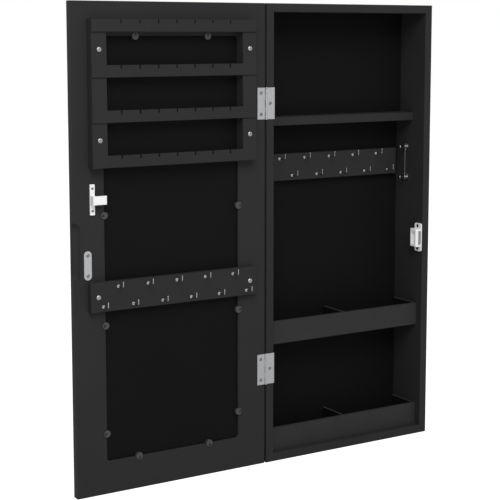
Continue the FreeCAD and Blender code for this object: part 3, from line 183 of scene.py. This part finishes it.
def calculated(tree, operation, first, second):
    """What an operation makes of two values."""
    node = add_node(tree, "ShaderNodeMath", operation=operation)
    feed(tree, first, node.inputs[0])
    feed(tree, second, node.inputs[1])
    return node.outputs[0]


def product(tree, first, second):
    """Two values multiplied."""
    return calculated(tree, "MULTIPLY", first, second)


def per_metre(tree, size):
    """How many of a size fit in a metre."""
    return calculated(tree, "DIVIDE", 1.0, size)


def remap(tree, value, low, high, to_low=0.0, to_high=1.0):
    """A value moved from one range to another and held inside it."""
    node = add_node(tree, "ShaderNodeMapRange")
    for socket, number in zip(node.inputs, (value, low, high, to_low, to_high)):
        feed(tree, number, socket)
    return node.outputs[0]


def mixed(tree, factor, first, second, kind="FLOAT"):
    """Two values, or with the kind RGBA two colours, mixed; the factor is the second one's share."""
    node = add_node(tree, "ShaderNodeMix", data_type=kind)
    for label, value in (("Factor", factor), ("A", first), ("B", second)):
        feed(tree, value, node.inputs[label])
    return node.outputs["Result"]


def stretched(tree, vector, factors):
    """Coordinates scaled along each axis."""
    node = add_node(tree, "ShaderNodeVectorMath", operation="MULTIPLY")
    feed(tree, vector, node.inputs[0])
    feed(tree, factors, node.inputs[1])
    return node.outputs[0]


def noise(tree, vector, scale, detail, roughness=0.5):
    """A noise pattern, with its scale in patches per metre."""
    node = add_node(tree, "ShaderNodeTexNoise")
    for label, value in (("Vector", vector), ("Scale", scale), ("Detail", detail),
                         ("Roughness", roughness)):
        feed(tree, value, node.inputs[label])
    return node.outputs["Fac"]


def piece_coordinates(tree):
    """The place on the piece, in metres."""
    return add_node(tree, "ShaderNodeTexCoord").outputs["Object"]


def rounded_normal(tree, radius):
    """The normal that the surface has with its edges rounded."""
    node = add_node(tree, "ShaderNodeBevel", samples=BEVEL_SAMPLES)
    feed(tree, radius, node.inputs["Radius"])
    return node.outputs["Normal"]


# ---------------------------------------------------------------- shared effects

FLOAT, VECTOR = "NodeSocketFloat", "NodeSocketVector"
BEVEL_SAMPLES = 6

EDGE_LIKENESS = (0.985, 0.82)   # likeness of the rounded normal to the plain one, off and on an edge
RUBBED_PATCHES = (0.42, 0.62)   # noise in the least and the most rubbed patches
LEAST_RUBBED = 0.25             # how far the least rubbed patches go, of the most rubbed
FOIL_SWELL = 0.12               # slow swells of the foil for each pore
FIBRE_STRETCH = 0.22            # pace of the fibres along their length
HARDBOARD_CLOUDS = 14.0         # clouds in a metre of hardboard
FLOW_MARKS = 90.0               # flow marks in a metre of plastic
FLOW_STRETCH = 0.3              # pace of the flow marks up and down
LOOKS_UP = (0.7, 0.95)          # upward part of the normal where the painted top highlight starts and is full
HIGHLIGHT_PATCHES = (0.3, 0.6)       # noise where the painted top highlight is weakest and strongest
LEAST_HIGHLIGHT = 0.75               # strength of the weakest patches of the painted top highlight, of the strongest


def build_relief_group():
    """Rounded edges with fine relief on top, as one normal."""
    tree, given, out = new_group("Relief on rounded edges",
                                 [("Edge", FLOAT, 0.0005), ("Height", FLOAT, 0.5),
                                  ("Depth", FLOAT, 0.0001), ("Strength", FLOAT, 0.3)],
                                 [("Normal", VECTOR)])
    bump = add_node(tree, "ShaderNodeBump")
    feed(tree, given["Strength"], bump.inputs["Strength"])
    feed(tree, given["Depth"], bump.inputs["Distance"])
    feed(tree, given["Height"], bump.inputs["Height"])
    feed(tree, rounded_normal(tree, given["Edge"]), bump.inputs["Normal"])
    feed(tree, bump.outputs["Normal"], out["Normal"])


def build_wear_group():
    """A mask of the places along edges where a finish is rubbed."""
    tree, given, out = new_group("Edge wear",
                                 [("Edge", FLOAT, 0.0005), ("Amount", FLOAT, 0.5),
                                  ("Patch", FLOAT, 0.02)],
                                 [("Mask", FLOAT)])
    surface = add_node(tree, "ShaderNodeNewGeometry")
    likeness = add_node(tree, "ShaderNodeVectorMath", operation="DOT_PRODUCT")
    feed(tree, rounded_normal(tree, given["Edge"]), likeness.inputs[0])
    feed(tree, surface.outputs["Normal"], likeness.inputs[1])
    on_edge = remap(tree, likeness.outputs["Value"], *EDGE_LIKENESS)
    patches = noise(tree, piece_coordinates(tree), per_metre(tree, given["Patch"]), detail=4.0)
    rubbed = remap(tree, patches, *RUBBED_PATCHES, to_low=LEAST_RUBBED)
    feed(tree, product(tree, product(tree, on_edge, rubbed), given["Amount"]), out["Mask"])


def build_foil_group():
    """Pores and slow clouds of a matt foil pressed on fibreboard."""
    tree, given, out = new_group("Foil grain",
                                 [("Pore", FLOAT, 0.0006), ("Cloud", FLOAT, 0.08)],
                                 [("Height", FLOAT), ("Shade", FLOAT)])
    where = piece_coordinates(tree)
    per_pore = per_metre(tree, given["Pore"])
    pores = noise(tree, where, per_pore, detail=2.0, roughness=0.6)
    swell = noise(tree, where, product(tree, per_pore, FOIL_SWELL), detail=1.0)
    clouds = noise(tree, where, per_metre(tree, given["Cloud"]), detail=3.0)
    feed(tree, mixed(tree, 0.35, pores, swell), out["Height"])
    feed(tree, mixed(tree, 0.3, clouds, pores), out["Shade"])


def build_fibre_group():
    """Matted fibres of painted hardboard."""
    tree, given, out = new_group("Hardboard fibres", [("Fibre", FLOAT, 0.0009)],
                                 [("Height", FLOAT), ("Shade", FLOAT)])
    where = piece_coordinates(tree)
    per_fibre = per_metre(tree, given["Fibre"])
    upright, lying = (noise(tree, stretched(tree, where, pace), per_fibre, detail=3.0, roughness=0.65)
                      for pace in ((1.0, 1.0, FIBRE_STRETCH), (FIBRE_STRETCH, 1.0, 1.0)))
    crossed = calculated(tree, "MAXIMUM", upright, lying)
    clouds = noise(tree, where, HARDBOARD_CLOUDS, detail=4.0)
    feed(tree, crossed, out["Height"])
    feed(tree, mixed(tree, 0.4, clouds, crossed), out["Shade"])


def build_brushed_group():
    """Fine lines that run one way, and the mottle of plating."""
    tree, given, out = new_group("Brushed plating",
                                 [("Line", FLOAT, 0.00012), ("Along", VECTOR, None),
                                  ("Mottle", FLOAT, 0.004)],
                                 [("Height", FLOAT), ("Shade", FLOAT)])
    where = piece_coordinates(tree)
    drawn = stretched(tree, where, given["Along"])
    lines = noise(tree, drawn, per_metre(tree, given["Line"]), detail=2.0, roughness=0.7)
    mottle = noise(tree, where, per_metre(tree, given["Mottle"]), detail=3.0)
    feed(tree, lines, out["Height"])
    feed(tree, mixed(tree, 0.5, lines, mottle), out["Shade"])


def build_mould_group():
    """Spark texture of a plastic mould, with faint flow marks."""
    tree, given, out = new_group("Moulded skin", [("Spark", FLOAT, 0.0004)],
                                 [("Height", FLOAT), ("Shade", FLOAT)])
    where = piece_coordinates(tree)
    sparks = noise(tree, where, per_metre(tree, given["Spark"]), detail=1.0)
    flow = noise(tree, stretched(tree, where, (1.0, 1.0, FLOW_STRETCH)), FLOW_MARKS, detail=2.0)
    feed(tree, sparks, out["Height"])
    feed(tree, mixed(tree, 0.25, flow, sparks), out["Shade"])


def build_top_highlight_group():
    """A mask for a painted highlight on the faces that look straight up, broken by a little noise."""
    tree, given, out = new_group("Painted top highlight", [("Patch", FLOAT, 0.01)], [("Mask", FLOAT)])
    surface = add_node(tree, "ShaderNodeNewGeometry")
    part = add_node(tree, "ShaderNodeSeparateXYZ")
    feed(tree, surface.outputs["True Normal"], part.inputs[0])
    looks_up = remap(tree, part.outputs["Z"], *LOOKS_UP)
    patches = noise(tree, piece_coordinates(tree), per_metre(tree, given["Patch"]), detail=3.0)
    top_light = remap(tree, patches, *HIGHLIGHT_PATCHES, to_low=LEAST_HIGHLIGHT)
    feed(tree, product(tree, looks_up, top_light), out["Mask"])


# ---------------------------------------------------------------- finishes

SHADE_RANGE = (0.3, 0.7)        # where a pattern's shade starts and stops changing the finish
NO_GRAIN = (1.0, 1.0, 1.0)      # pace of the brush lines along X, Y and Z on pieces without a grain
DRAWN = (1.0, 1.0, 0.05)        # and on plates that are drawn upright
PORE_DEPTH = 0.12               # depth of the foil's relief, in pores
LINE_DEPTH = 0.1                # depth of the brush lines, in their own width
POLISHED_COLOUR = 1.25          # brightness of a metal's rubbed edges, of the plain metal
POLISHED_ROUGHNESS = 0.7        # and their roughness, of its lowest


def scaled(colour, factor=1.0):
    """A colour made lighter or darker, opaque."""
    return (*[min(1.0, channel * factor) for channel in colour], 1.0)


def shaded_material(name, colour, pattern, spread, roughness, relief, metallic=0.0, specular=0.5,
                    wear=None, rubbed=None):
    """A Principled material whose colour, roughness and relief follow one pattern group.

    pattern, relief and wear are the values of their groups, the first with the group's name.  spread
    is how far the colour goes to each side, roughness its lowest and highest value, and rubbed the
    colour and the roughness where the finish is worn.
    """
    material = bpy.data.materials.new(name)
    material.use_nodes = True
    tree = material.node_tree
    effect = use_group(tree, **pattern)
    shade = effect.outputs["Shade"]
    base = mixed(tree, remap(tree, shade, *SHADE_RANGE), scaled(colour, 1.0 - spread),
                 scaled(colour, 1.0 + spread), "RGBA")
    rough = remap(tree, shade, *SHADE_RANGE, *roughness)
    if wear:
        mask = use_group(tree, "Edge wear", **wear).outputs["Mask"]
        rubbed_colour, rubbed_roughness = rubbed
        base = mixed(tree, mask, base, rubbed_colour, "RGBA")
        rough = mixed(tree, mask, rough, rubbed_roughness)
    normal = use_group(tree, "Relief on rounded edges", Height=effect.outputs["Height"], **relief)
    shader = tree.nodes["Principled BSDF"].inputs
    for label, value in (("Base Color", base), ("Roughness", rough), ("Metallic", metallic),
                         ("Specular IOR Level", specular), ("Normal", normal.outputs["Normal"])):
        feed(tree, value, shader[label])
    return material


def foil(name, colour, detail, cloud, rubbed):
    """Matt foil, paler where its edges are rubbed."""
    return shaded_material(name, colour, dict(name="Foil grain", Pore=detail.pore, Cloud=cloud),
                           spread=0.07, roughness=(0.50, 0.58), specular=0.06,
                           relief=dict(Edge=detail.board_edge, Depth=detail.pore * PORE_DEPTH,
                                       Strength=0.35),
                           wear=dict(Edge=detail.board_edge, Amount=detail.foil_wear),
                           rubbed=(scaled(colour, rubbed), 0.4))


def black_foil(colours, detail):
    """Matt black foil of the boards, the door and the rack."""
    return foil("black_foil", colours.foil, detail, cloud=0.09, rubbed=1.9)


def brightened_tray_foil(colours, detail):
    """The board foil made slightly paler for the tray fronts: painted light that lifts the shade falling
    on them in their shallow recess.
    """
    return foil("brightened_tray_foil", colours.tray, detail, cloud=0.05, rubbed=1.7)


def hardboard(name, colour, detail, fibre, edge, depth, strength, roughness):
    """Painted hardboard, with its fibres and edges as shares of the usual and its depth in fibres."""
    return shaded_material(name, colour, dict(name="Hardboard fibres", Fibre=detail.fibre * fibre),
                           spread=0.10, roughness=roughness, specular=0.05,
                           relief=dict(Edge=detail.board_edge * edge, Depth=detail.fibre * depth,
                                       Strength=strength))


def painted_hardboard(colours, detail):
    """Thin painted hardboard behind the shelves, and the hanging board."""
    return hardboard("painted_hardboard", colours.panel, detail, fibre=1.0, edge=1.0, depth=0.10,
                     strength=0.4, roughness=(0.62, 0.72))


def mirror_back_board(colours, detail):
    """Smooth dark board behind the mirror."""
    return hardboard("mirror_back_board", colours.backing, detail, fibre=1.4, edge=1.0, depth=0.06,
                     strength=0.3, roughness=(0.60, 0.70))


def tray_wall(colours, detail):
    """Thin dark walls of the trays, with a painted highlight on their upward faces for the light from
    above.
    """
    material = hardboard("tray_wall", colours.divider, detail, fibre=0.8, edge=0.5, depth=0.08,
                         strength=0.35, roughness=(0.60, 0.70))
    tree = material.node_tree
    colour = tree.nodes["Principled BSDF"].inputs["Base Color"]
    # Painted highlight: the faces that look up take the paler colour, standing in for light from above.
    mask = use_group(tree, "Painted top highlight", Patch=0.006).outputs["Mask"]
    sides = colour.links[0].from_socket
    feed(tree, mixed(tree, mask, sides, scaled(colours.divider_top_highlight), "RGBA"), colour)
    return material


def silvered_glass(colours, detail):
    """Bright mirror glass with a trace of dust."""
    return shaded_material("silvered_glass", colours.silver,
                           dict(name="Foil grain", Pore=0.004, Cloud=0.12),
                           spread=0.01, roughness=(0.012, 0.03), metallic=1.0,
                           relief=dict(Edge=detail.plastic_edge, Depth=0.000002, Strength=0.02))


def moulded_plastic(name, colour, detail, spread, depth, roughness):
    """Moulded plastic, with the depth of its texture as a share of the texture's size."""
    return shaded_material(name, colour, dict(name="Moulded skin", Spark=detail.spark),
                           spread=spread, roughness=roughness,
                           relief=dict(Edge=detail.plastic_edge, Depth=detail.spark * depth,
                                       Strength=0.3))


def smoky_plastic(colours, detail):
    """Dark smoky plastic of the mirror clips."""
    return moulded_plastic("smoky_plastic", colours.clip, detail, spread=0.08, depth=0.05,
                           roughness=(0.30, 0.38))


def white_moulding(colours, detail):
    """White plastic of the catch and the tongue hook."""
    return moulded_plastic("white_moulding", colours.white, detail, spread=0.015, depth=0.04,
                           roughness=(0.30, 0.36))


def pressed_ferrite(colours, detail):
    """Dull pressed magnet, painted lighter than ferrite to lift the shade in the catch's window."""
    return shaded_material("pressed_ferrite", colours.ferrite,
                           dict(name="Foil grain", Pore=0.0003, Cloud=0.003),
                           spread=0.2, roughness=(0.55, 0.75),
                           relief=dict(Edge=detail.metal_edge, Depth=0.00004, Strength=0.5))


def beech_wood(colours, detail):
    """Pale dowels with grain along their length."""
    return shaded_material("beech_wood", colours.beech,
                           dict(name="Brushed plating", Line=0.0006, Along=(0.08, 1.0, 1.0),
                                Mottle=0.01),
                           spread=0.2, roughness=(0.55, 0.7),
                           relief=dict(Edge=detail.metal_edge, Depth=0.00005, Strength=0.4))


def plated_metal(name, colour, detail, along, roughness):
    """A plated metal with fine lines along one way and polished edges."""
    return shaded_material(name, colour, dict(name="Brushed plating", Line=detail.brush, Along=along),
                           spread=0.08, roughness=roughness, metallic=1.0,
                           relief=dict(Edge=detail.metal_edge, Depth=detail.brush * LINE_DEPTH,
                                       Strength=0.25),
                           wear=dict(Edge=detail.metal_edge, Amount=detail.metal_wear),
                           rubbed=(scaled(colour, POLISHED_COLOUR), roughness[0] * POLISHED_ROUGHNESS))


def zinc_plate(colours, detail):
    """Bright zinc on flat pieces, drawn lengthwise."""
    return plated_metal("zinc_plate", colours.zinc, detail, along=DRAWN, roughness=(0.30, 0.42))


def zinc_screws(colours, detail):
    """Bright zinc on screws and nails, without a grain."""
    return plated_metal("zinc_screws", colours.zinc, detail, along=NO_GRAIN, roughness=(0.24, 0.36))


def dull_zinc(colours, detail):
    """Duller zinc of the strike plate, drawn lengthwise."""
    return plated_metal("dull_zinc", colours.strike, detail, along=DRAWN, roughness=(0.34, 0.46))


def shaded_sunk_screws(colours, detail):
    """Sunk screws in the strike plate, the hinges and the tongue hook, painted darker than zinc for the
    shade round their sunk heads.
    """
    return plated_metal("shaded_sunk_screws", colours.sunk, detail, along=NO_GRAIN, roughness=(0.34, 0.46))


def dark_screws(colours, detail):
    """Dark screws in the mirror clips and the catch; on the catch this dark is a painted reflection,
    zinc screws darkened for the dark surroundings they mirror.
    """
    return plated_metal("dark_screws", colours.dark_screw_tone, detail, along=NO_GRAIN,
                        roughness=(0.30, 0.42))


def satin_nickel(colours, detail):
    """Satin nickel of the hinges, drawn lengthwise."""
    return plated_metal("satin_nickel", colours.nickel, detail, along=(1.0, 1.0, 0.04),
                        roughness=(0.34, 0.46))


def chrome_plate(colours, detail):
    """Chrome of the hooks and the hanging bar."""
    return plated_metal("chrome_plate", colours.chrome, detail, along=(1.0, 1.0, 0.2),
                        roughness=(0.10, 0.18))


FINISHES = {make.__name__: make for make in (
    black_foil, brightened_tray_foil, painted_hardboard, mirror_back_board, tray_wall, silvered_glass,
    smoky_plastic, white_moulding, pressed_ferrite, beech_wood, zinc_plate, zinc_screws, dull_zinc,
    shaded_sunk_screws, dark_screws, satin_nickel, chrome_plate)}


def finish(name):
    """The finish of that name, made the first time that it is asked for."""
    scene = bpy.context.scene
    made = bpy.data.materials.get(name)
    return made or FINISHES[name](scene.cabinet_colours, scene.cabinet_detail)


def dress(finish_name, *nodes):
    """Give the model's own pieces a finish."""
    material = finish(finish_name)
    for name in nodes:
        for slot in NODES[name].material_slots:
            slot.material = material


# ---------------------------------------------------------------- operators

class CabinetOperator:
    """What all the operators share."""
    bl_options = {"REGISTER", "UNDO"}


class CABINET_OT_effects(CabinetOperator, bpy.types.Operator):
    """Build the node groups that the finishes share"""
    bl_idname = "cabinet.effects"
    bl_label = "Shared effects"

    def execute(self, context):
        build_relief_group()
        build_wear_group()
        build_foil_group()
        build_fibre_group()
        build_brushed_group()
        build_mould_group()
        build_top_highlight_group()
        return {"FINISHED"}


class CABINET_OT_carcass(CabinetOperator, bpy.types.Operator):
    """Finish the sides, top, bottom, shelf, hanging board, back panel, dowels and nails"""
    bl_idname = "cabinet.carcass"
    bl_label = "Carcass"

    def execute(self, context):
        dress("black_foil", "left_side", "right_side", "top_board", "bottom_board", "shelf")
        dress("painted_hardboard", "back_panel", "hanging_board")
        dress("beech_wood", "carcass_dowels")
        dress("zinc_screws", "back_panel_nails")
        return {"FINISHED"}


class CABINET_OT_trays(CabinetOperator, bpy.types.Operator):
    """Finish the fronts, dividers, end walls and floor of the two trays"""
    bl_idname = "cabinet.trays"
    bl_label = "Trays"

    def execute(self, context):
        for level in ("upper", "lower"):
            dress("brightened_tray_foil", f"{level}_tray_front")
            dress("tray_wall", f"{level}_tray_divider", f"{level}_tray_left_end",
                  f"{level}_tray_right_end")
        dress("black_foil", "upper_tray_floor")
        return {"FINISHED"}


class CABINET_OT_hook_boards(CabinetOperator, bpy.types.Operator):
    """Finish the two hook boards, their hooks and their screws"""
    bl_idname = "cabinet.hook_boards"
    bl_label = "Hook boards"

    def execute(self, context):
        dress("black_foil", "cabinet_hook_board", "door_hook_board")
        dress("chrome_plate", "cabinet_hooks", "door_hooks")
        dress("zinc_screws", "hook_board_back_screws", "door_hook_board_screws")
        return {"FINISHED"}


class CABINET_OT_catch(CabinetOperator, bpy.types.Operator):
    """Finish the magnetic catch and the strike plate that it holds"""
    bl_idname = "cabinet.catch"
    bl_label = "Magnetic catch"

    def execute(self, context):
        dress("white_moulding", "catch_housing")
        dress("pressed_ferrite", "catch_magnet")
        # The catch's zinc screws get the dark finish: a painted dark reflection.
        dress("dark_screws", "catch_screws")
        dress("zinc_plate", "catch_pole_plates")
        dress("dull_zinc", "strike_plate")
        dress("shaded_sunk_screws", "strike_screws")
        return {"FINISHED"}


class CABINET_OT_hanging_bar(CabinetOperator, bpy.types.Operator):
    """Finish the hanging bar and its two posts"""
    bl_idname = "cabinet.hanging_bar"
    bl_label = "Hanging bar"

    def execute(self, context):
        dress("chrome_plate", "hanging_bar", "hanging_bar_lower_post", "hanging_bar_upper_post")
        return {"FINISHED"}


class CABINET_OT_hinges(CabinetOperator, bpy.types.Operator):
    """Finish the two butt hinges, their pins and their screws"""
    bl_idname = "cabinet.hinges"
    bl_label = "Hinges"

    def execute(self, context):
        for level in ("upper", "lower"):
            dress("satin_nickel", f"{level}_hinge_cabinet_leaf", f"{level}_hinge_door_leaf",
                  f"{level}_hinge_pin")
        dress("shaded_sunk_screws", "cabinet_hinge_screws", "door_hinge_screws")
        return {"FINISHED"}


class CABINET_OT_wall_hangers(CabinetOperator, bpy.types.Operator):
    """Finish the keyhole hangers let into the back"""
    bl_idname = "cabinet.wall_hangers"
    bl_label = "Wall hangers"

    def execute(self, context):
        dress("zinc_plate", "wall_hangers")
        dress("zinc_screws", "wall_hanger_screws")
        return {"FINISHED"}


class CABINET_OT_door(CabinetOperator, bpy.types.Operator):
    """Finish the door's frame"""
    bl_idname = "cabinet.door"
    bl_label = "Door frame"

    def execute(self, context):
        dress("black_foil", "door_frame")
        return {"FINISHED"}


class CABINET_OT_mirror(CabinetOperator, bpy.types.Operator):
    """Finish the mirror, the board behind it and the clips that hold both"""
    bl_idname = "cabinet.mirror"
    bl_label = "Mirror"

    def execute(self, context):
        dress("silvered_glass", "mirror_glass")
        dress("mirror_back_board", "mirror_backing")
        dress("smoky_plastic", "mirror_clips")
        dress("dark_screws", "mirror_clip_screws")
        return {"FINISHED"}


class CABINET_OT_earring_rack(CabinetOperator, bpy.types.Operator):
    """Finish the earring rack on the door"""
    bl_idname = "cabinet.earring_rack"
    bl_label = "Earring rack"

    def execute(self, context):
        dress("black_foil", "earring_rack_head_strip", "earring_rack_tier_1", "earring_rack_tier_2",
              "earring_rack_tier_3", "earring_rack_left_upright", "earring_rack_right_upright")
        dress("zinc_screws", "earring_rack_screws")
        return {"FINISHED"}


class CABINET_OT_tongue_hook(CabinetOperator, bpy.types.Operator):
    """Finish the white tongue hook on the door"""
    bl_idname = "cabinet.tongue_hook"
    bl_label = "Tongue hook"

    def execute(self, context):
        dress("white_moulding", "tongue_hook")
        dress("shaded_sunk_screws", "tongue_hook_screws")
        return {"FINISHED"}


# ---------------------------------------------------------------- stage

WHITE = (1.0, 1.0, 1.0, 1.0)
FLOOR_GREY = (0.9, 0.9, 0.9, 1.0)


def white_floor(glow):
    """White to the camera, yet darker where the cabinet shades it, and grey in reflections."""
    material = bpy.data.materials.new("white_floor")
    material.use_nodes = True
    tree = material.node_tree
    tree.nodes.remove(tree.nodes["Principled BSDF"])
    lit = add_node(tree, "ShaderNodeBsdfDiffuse")
    lit.inputs["Color"].default_value = FLOOR_GREY
    glowing = add_node(tree, "ShaderNodeEmission")
    path = add_node(tree, "ShaderNodeLightPath")
    feed(tree, product(tree, path.outputs["Is Camera Ray"], glow), glowing.inputs["Strength"])
    both = add_node(tree, "ShaderNodeAddShader")
    feed(tree, lit.outputs[0], both.inputs[0])
    feed(tree, glowing.outputs[0], both.inputs[1])
    feed(tree, both.outputs[0], tree.nodes["Material Output"].inputs["Surface"])
    return material


def seen_rays(tree):
    """One for the rays that show the background: straight, reflected or through glass."""
    path = add_node(tree, "ShaderNodeLightPath")
    seen = path.outputs["Is Camera Ray"]
    for label in ("Is Glossy Ray", "Is Transmission Ray"):
        seen = calculated(tree, "MAXIMUM", seen, path.outputs[label])
    return seen


def white_world(strength):
    """White to the camera and in reflections; a softer light on everything else."""
    world = bpy.data.worlds.new("white_surround")
    world.use_nodes = True
    tree = world.node_tree
    light = tree.nodes["Background"]
    white = add_node(tree, "ShaderNodeBackground")
    for background, power in ((light, strength), (white, 1.0)):
        background.inputs["Color"].default_value = WHITE
        background.inputs["Strength"].default_value = power
    mix = add_node(tree, "ShaderNodeMixShader")
    feed(tree, seen_rays(tree), mix.inputs[0])
    feed(tree, light.outputs[0], mix.inputs[1])
    feed(tree, white.outputs[0], mix.inputs[2])
    feed(tree, mix.outputs[0], tree.nodes["World Output"].inputs["Surface"])
    return world


def aim(lamp, place, target):
    """Put a lamp at a place, facing a target."""
    lamp.location = place
    lamp.rotation_euler = (target - place).to_track_quat("-Z", "Y").to_euler()


class CABINET_OT_stage(CabinetOperator, bpy.types.Operator):
    """Make the floor, the light and the camera"""
    bl_idname = "cabinet.stage"
    bl_label = "Stage"

    def execute(self, context):
        scene = context.scene
        stage = scene.cabinet_stage
        low, high = CAD_BOX
        middle = (low + high) / 2
        half = stage.floor_width / 2
        mesh = bpy.data.meshes.new("floor")
        corners = [(-half, -half, 0.0), (half, -half, 0.0), (half, half, 0.0), (-half, half, 0.0)]
        mesh.from_pydata(corners, [], [(0, 1, 2, 3)])
        floor = bpy.data.objects.new("floor", mesh)
        floor.location = (middle.x, middle.y, low.z)
        scene.collection.objects.link(floor)
        mesh.materials.append(white_floor(stage.floor_glow))
        scene.world = white_world(stage.surround)
        lamp = bpy.data.lights.new("key", "AREA")
        lamp.size = stage.key_width
        lamp.energy = stage.key_power
        key = bpy.data.objects.new("key", lamp)
        scene.collection.objects.link(key)
        away = Vector((math.sin(stage.key_heading) * math.cos(stage.key_height),
                       -math.cos(stage.key_heading) * math.cos(stage.key_height),
                       math.sin(stage.key_height)))
        aim(key, middle + away * stage.key_reach, middle)
        view = bpy.data.cameras.new("camera")
        view.lens = stage.camera_lens
        view.shift_y = stage.camera_lift
        camera = bpy.data.objects.new("camera", view)
        scene.collection.objects.link(camera)
        camera.location = stage.camera_place
        camera.rotation_euler = (math.pi / 2 - stage.camera_tilt, 0.0, -stage.camera_heading)
        scene.camera = camera
        scene.view_settings.view_transform = "Standard"
        return {"FINISHED"}


# ---------------------------------------------------------------- panel and registration

OPERATORS = (CABINET_OT_effects, CABINET_OT_carcass, CABINET_OT_trays, CABINET_OT_hook_boards,
             CABINET_OT_catch, CABINET_OT_hanging_bar, CABINET_OT_hinges, CABINET_OT_wall_hangers,
             CABINET_OT_door, CABINET_OT_mirror, CABINET_OT_earring_rack, CABINET_OT_tongue_hook,
             CABINET_OT_stage)
SETTINGS = {"cabinet_colours": CabinetColours, "cabinet_detail": CabinetDetail,
            "cabinet_stage": CabinetStage}


class CABINET_PT_panel(bpy.types.Panel):
    """Lists the settings and the steps"""
    bl_idname = "CABINET_PT_panel"
    bl_label = "Jewellery cabinet"
    bl_space_type = "VIEW_3D"
    bl_region_type = "UI"
    bl_category = "Jewellery cabinet"

    def draw(self, context):
        for name in SETTINGS:
            box = self.layout.box()
            settings = getattr(context.scene, name)
            for key in settings.bl_rna.properties.keys():
                if key not in ("rna_type", "name"):
                    box.prop(settings, key)
        for operator in OPERATORS:
            self.layout.operator(operator.bl_idname)


CLASSES = (*SETTINGS.values(), *OPERATORS, CABINET_PT_panel)


def register():
    """Register the classes and give the scene its settings."""
    for item in CLASSES:
        bpy.utils.register_class(item)
    for name, group in SETTINGS.items():
        setattr(bpy.types.Scene, name, PointerProperty(type=group))


def unregister():
    """Take the settings and the classes away again."""
    for name in SETTINGS:
        delattr(bpy.types.Scene, name)
    for item in reversed(CLASSES):
        bpy.utils.unregister_class(item)


def main():
    """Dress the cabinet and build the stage."""
    register()
    for operator in OPERATORS:
        family, name = operator.bl_idname.split(".")
        getattr(getattr(bpy.ops, family), name)()


if __name__ == "__main__":
    main()
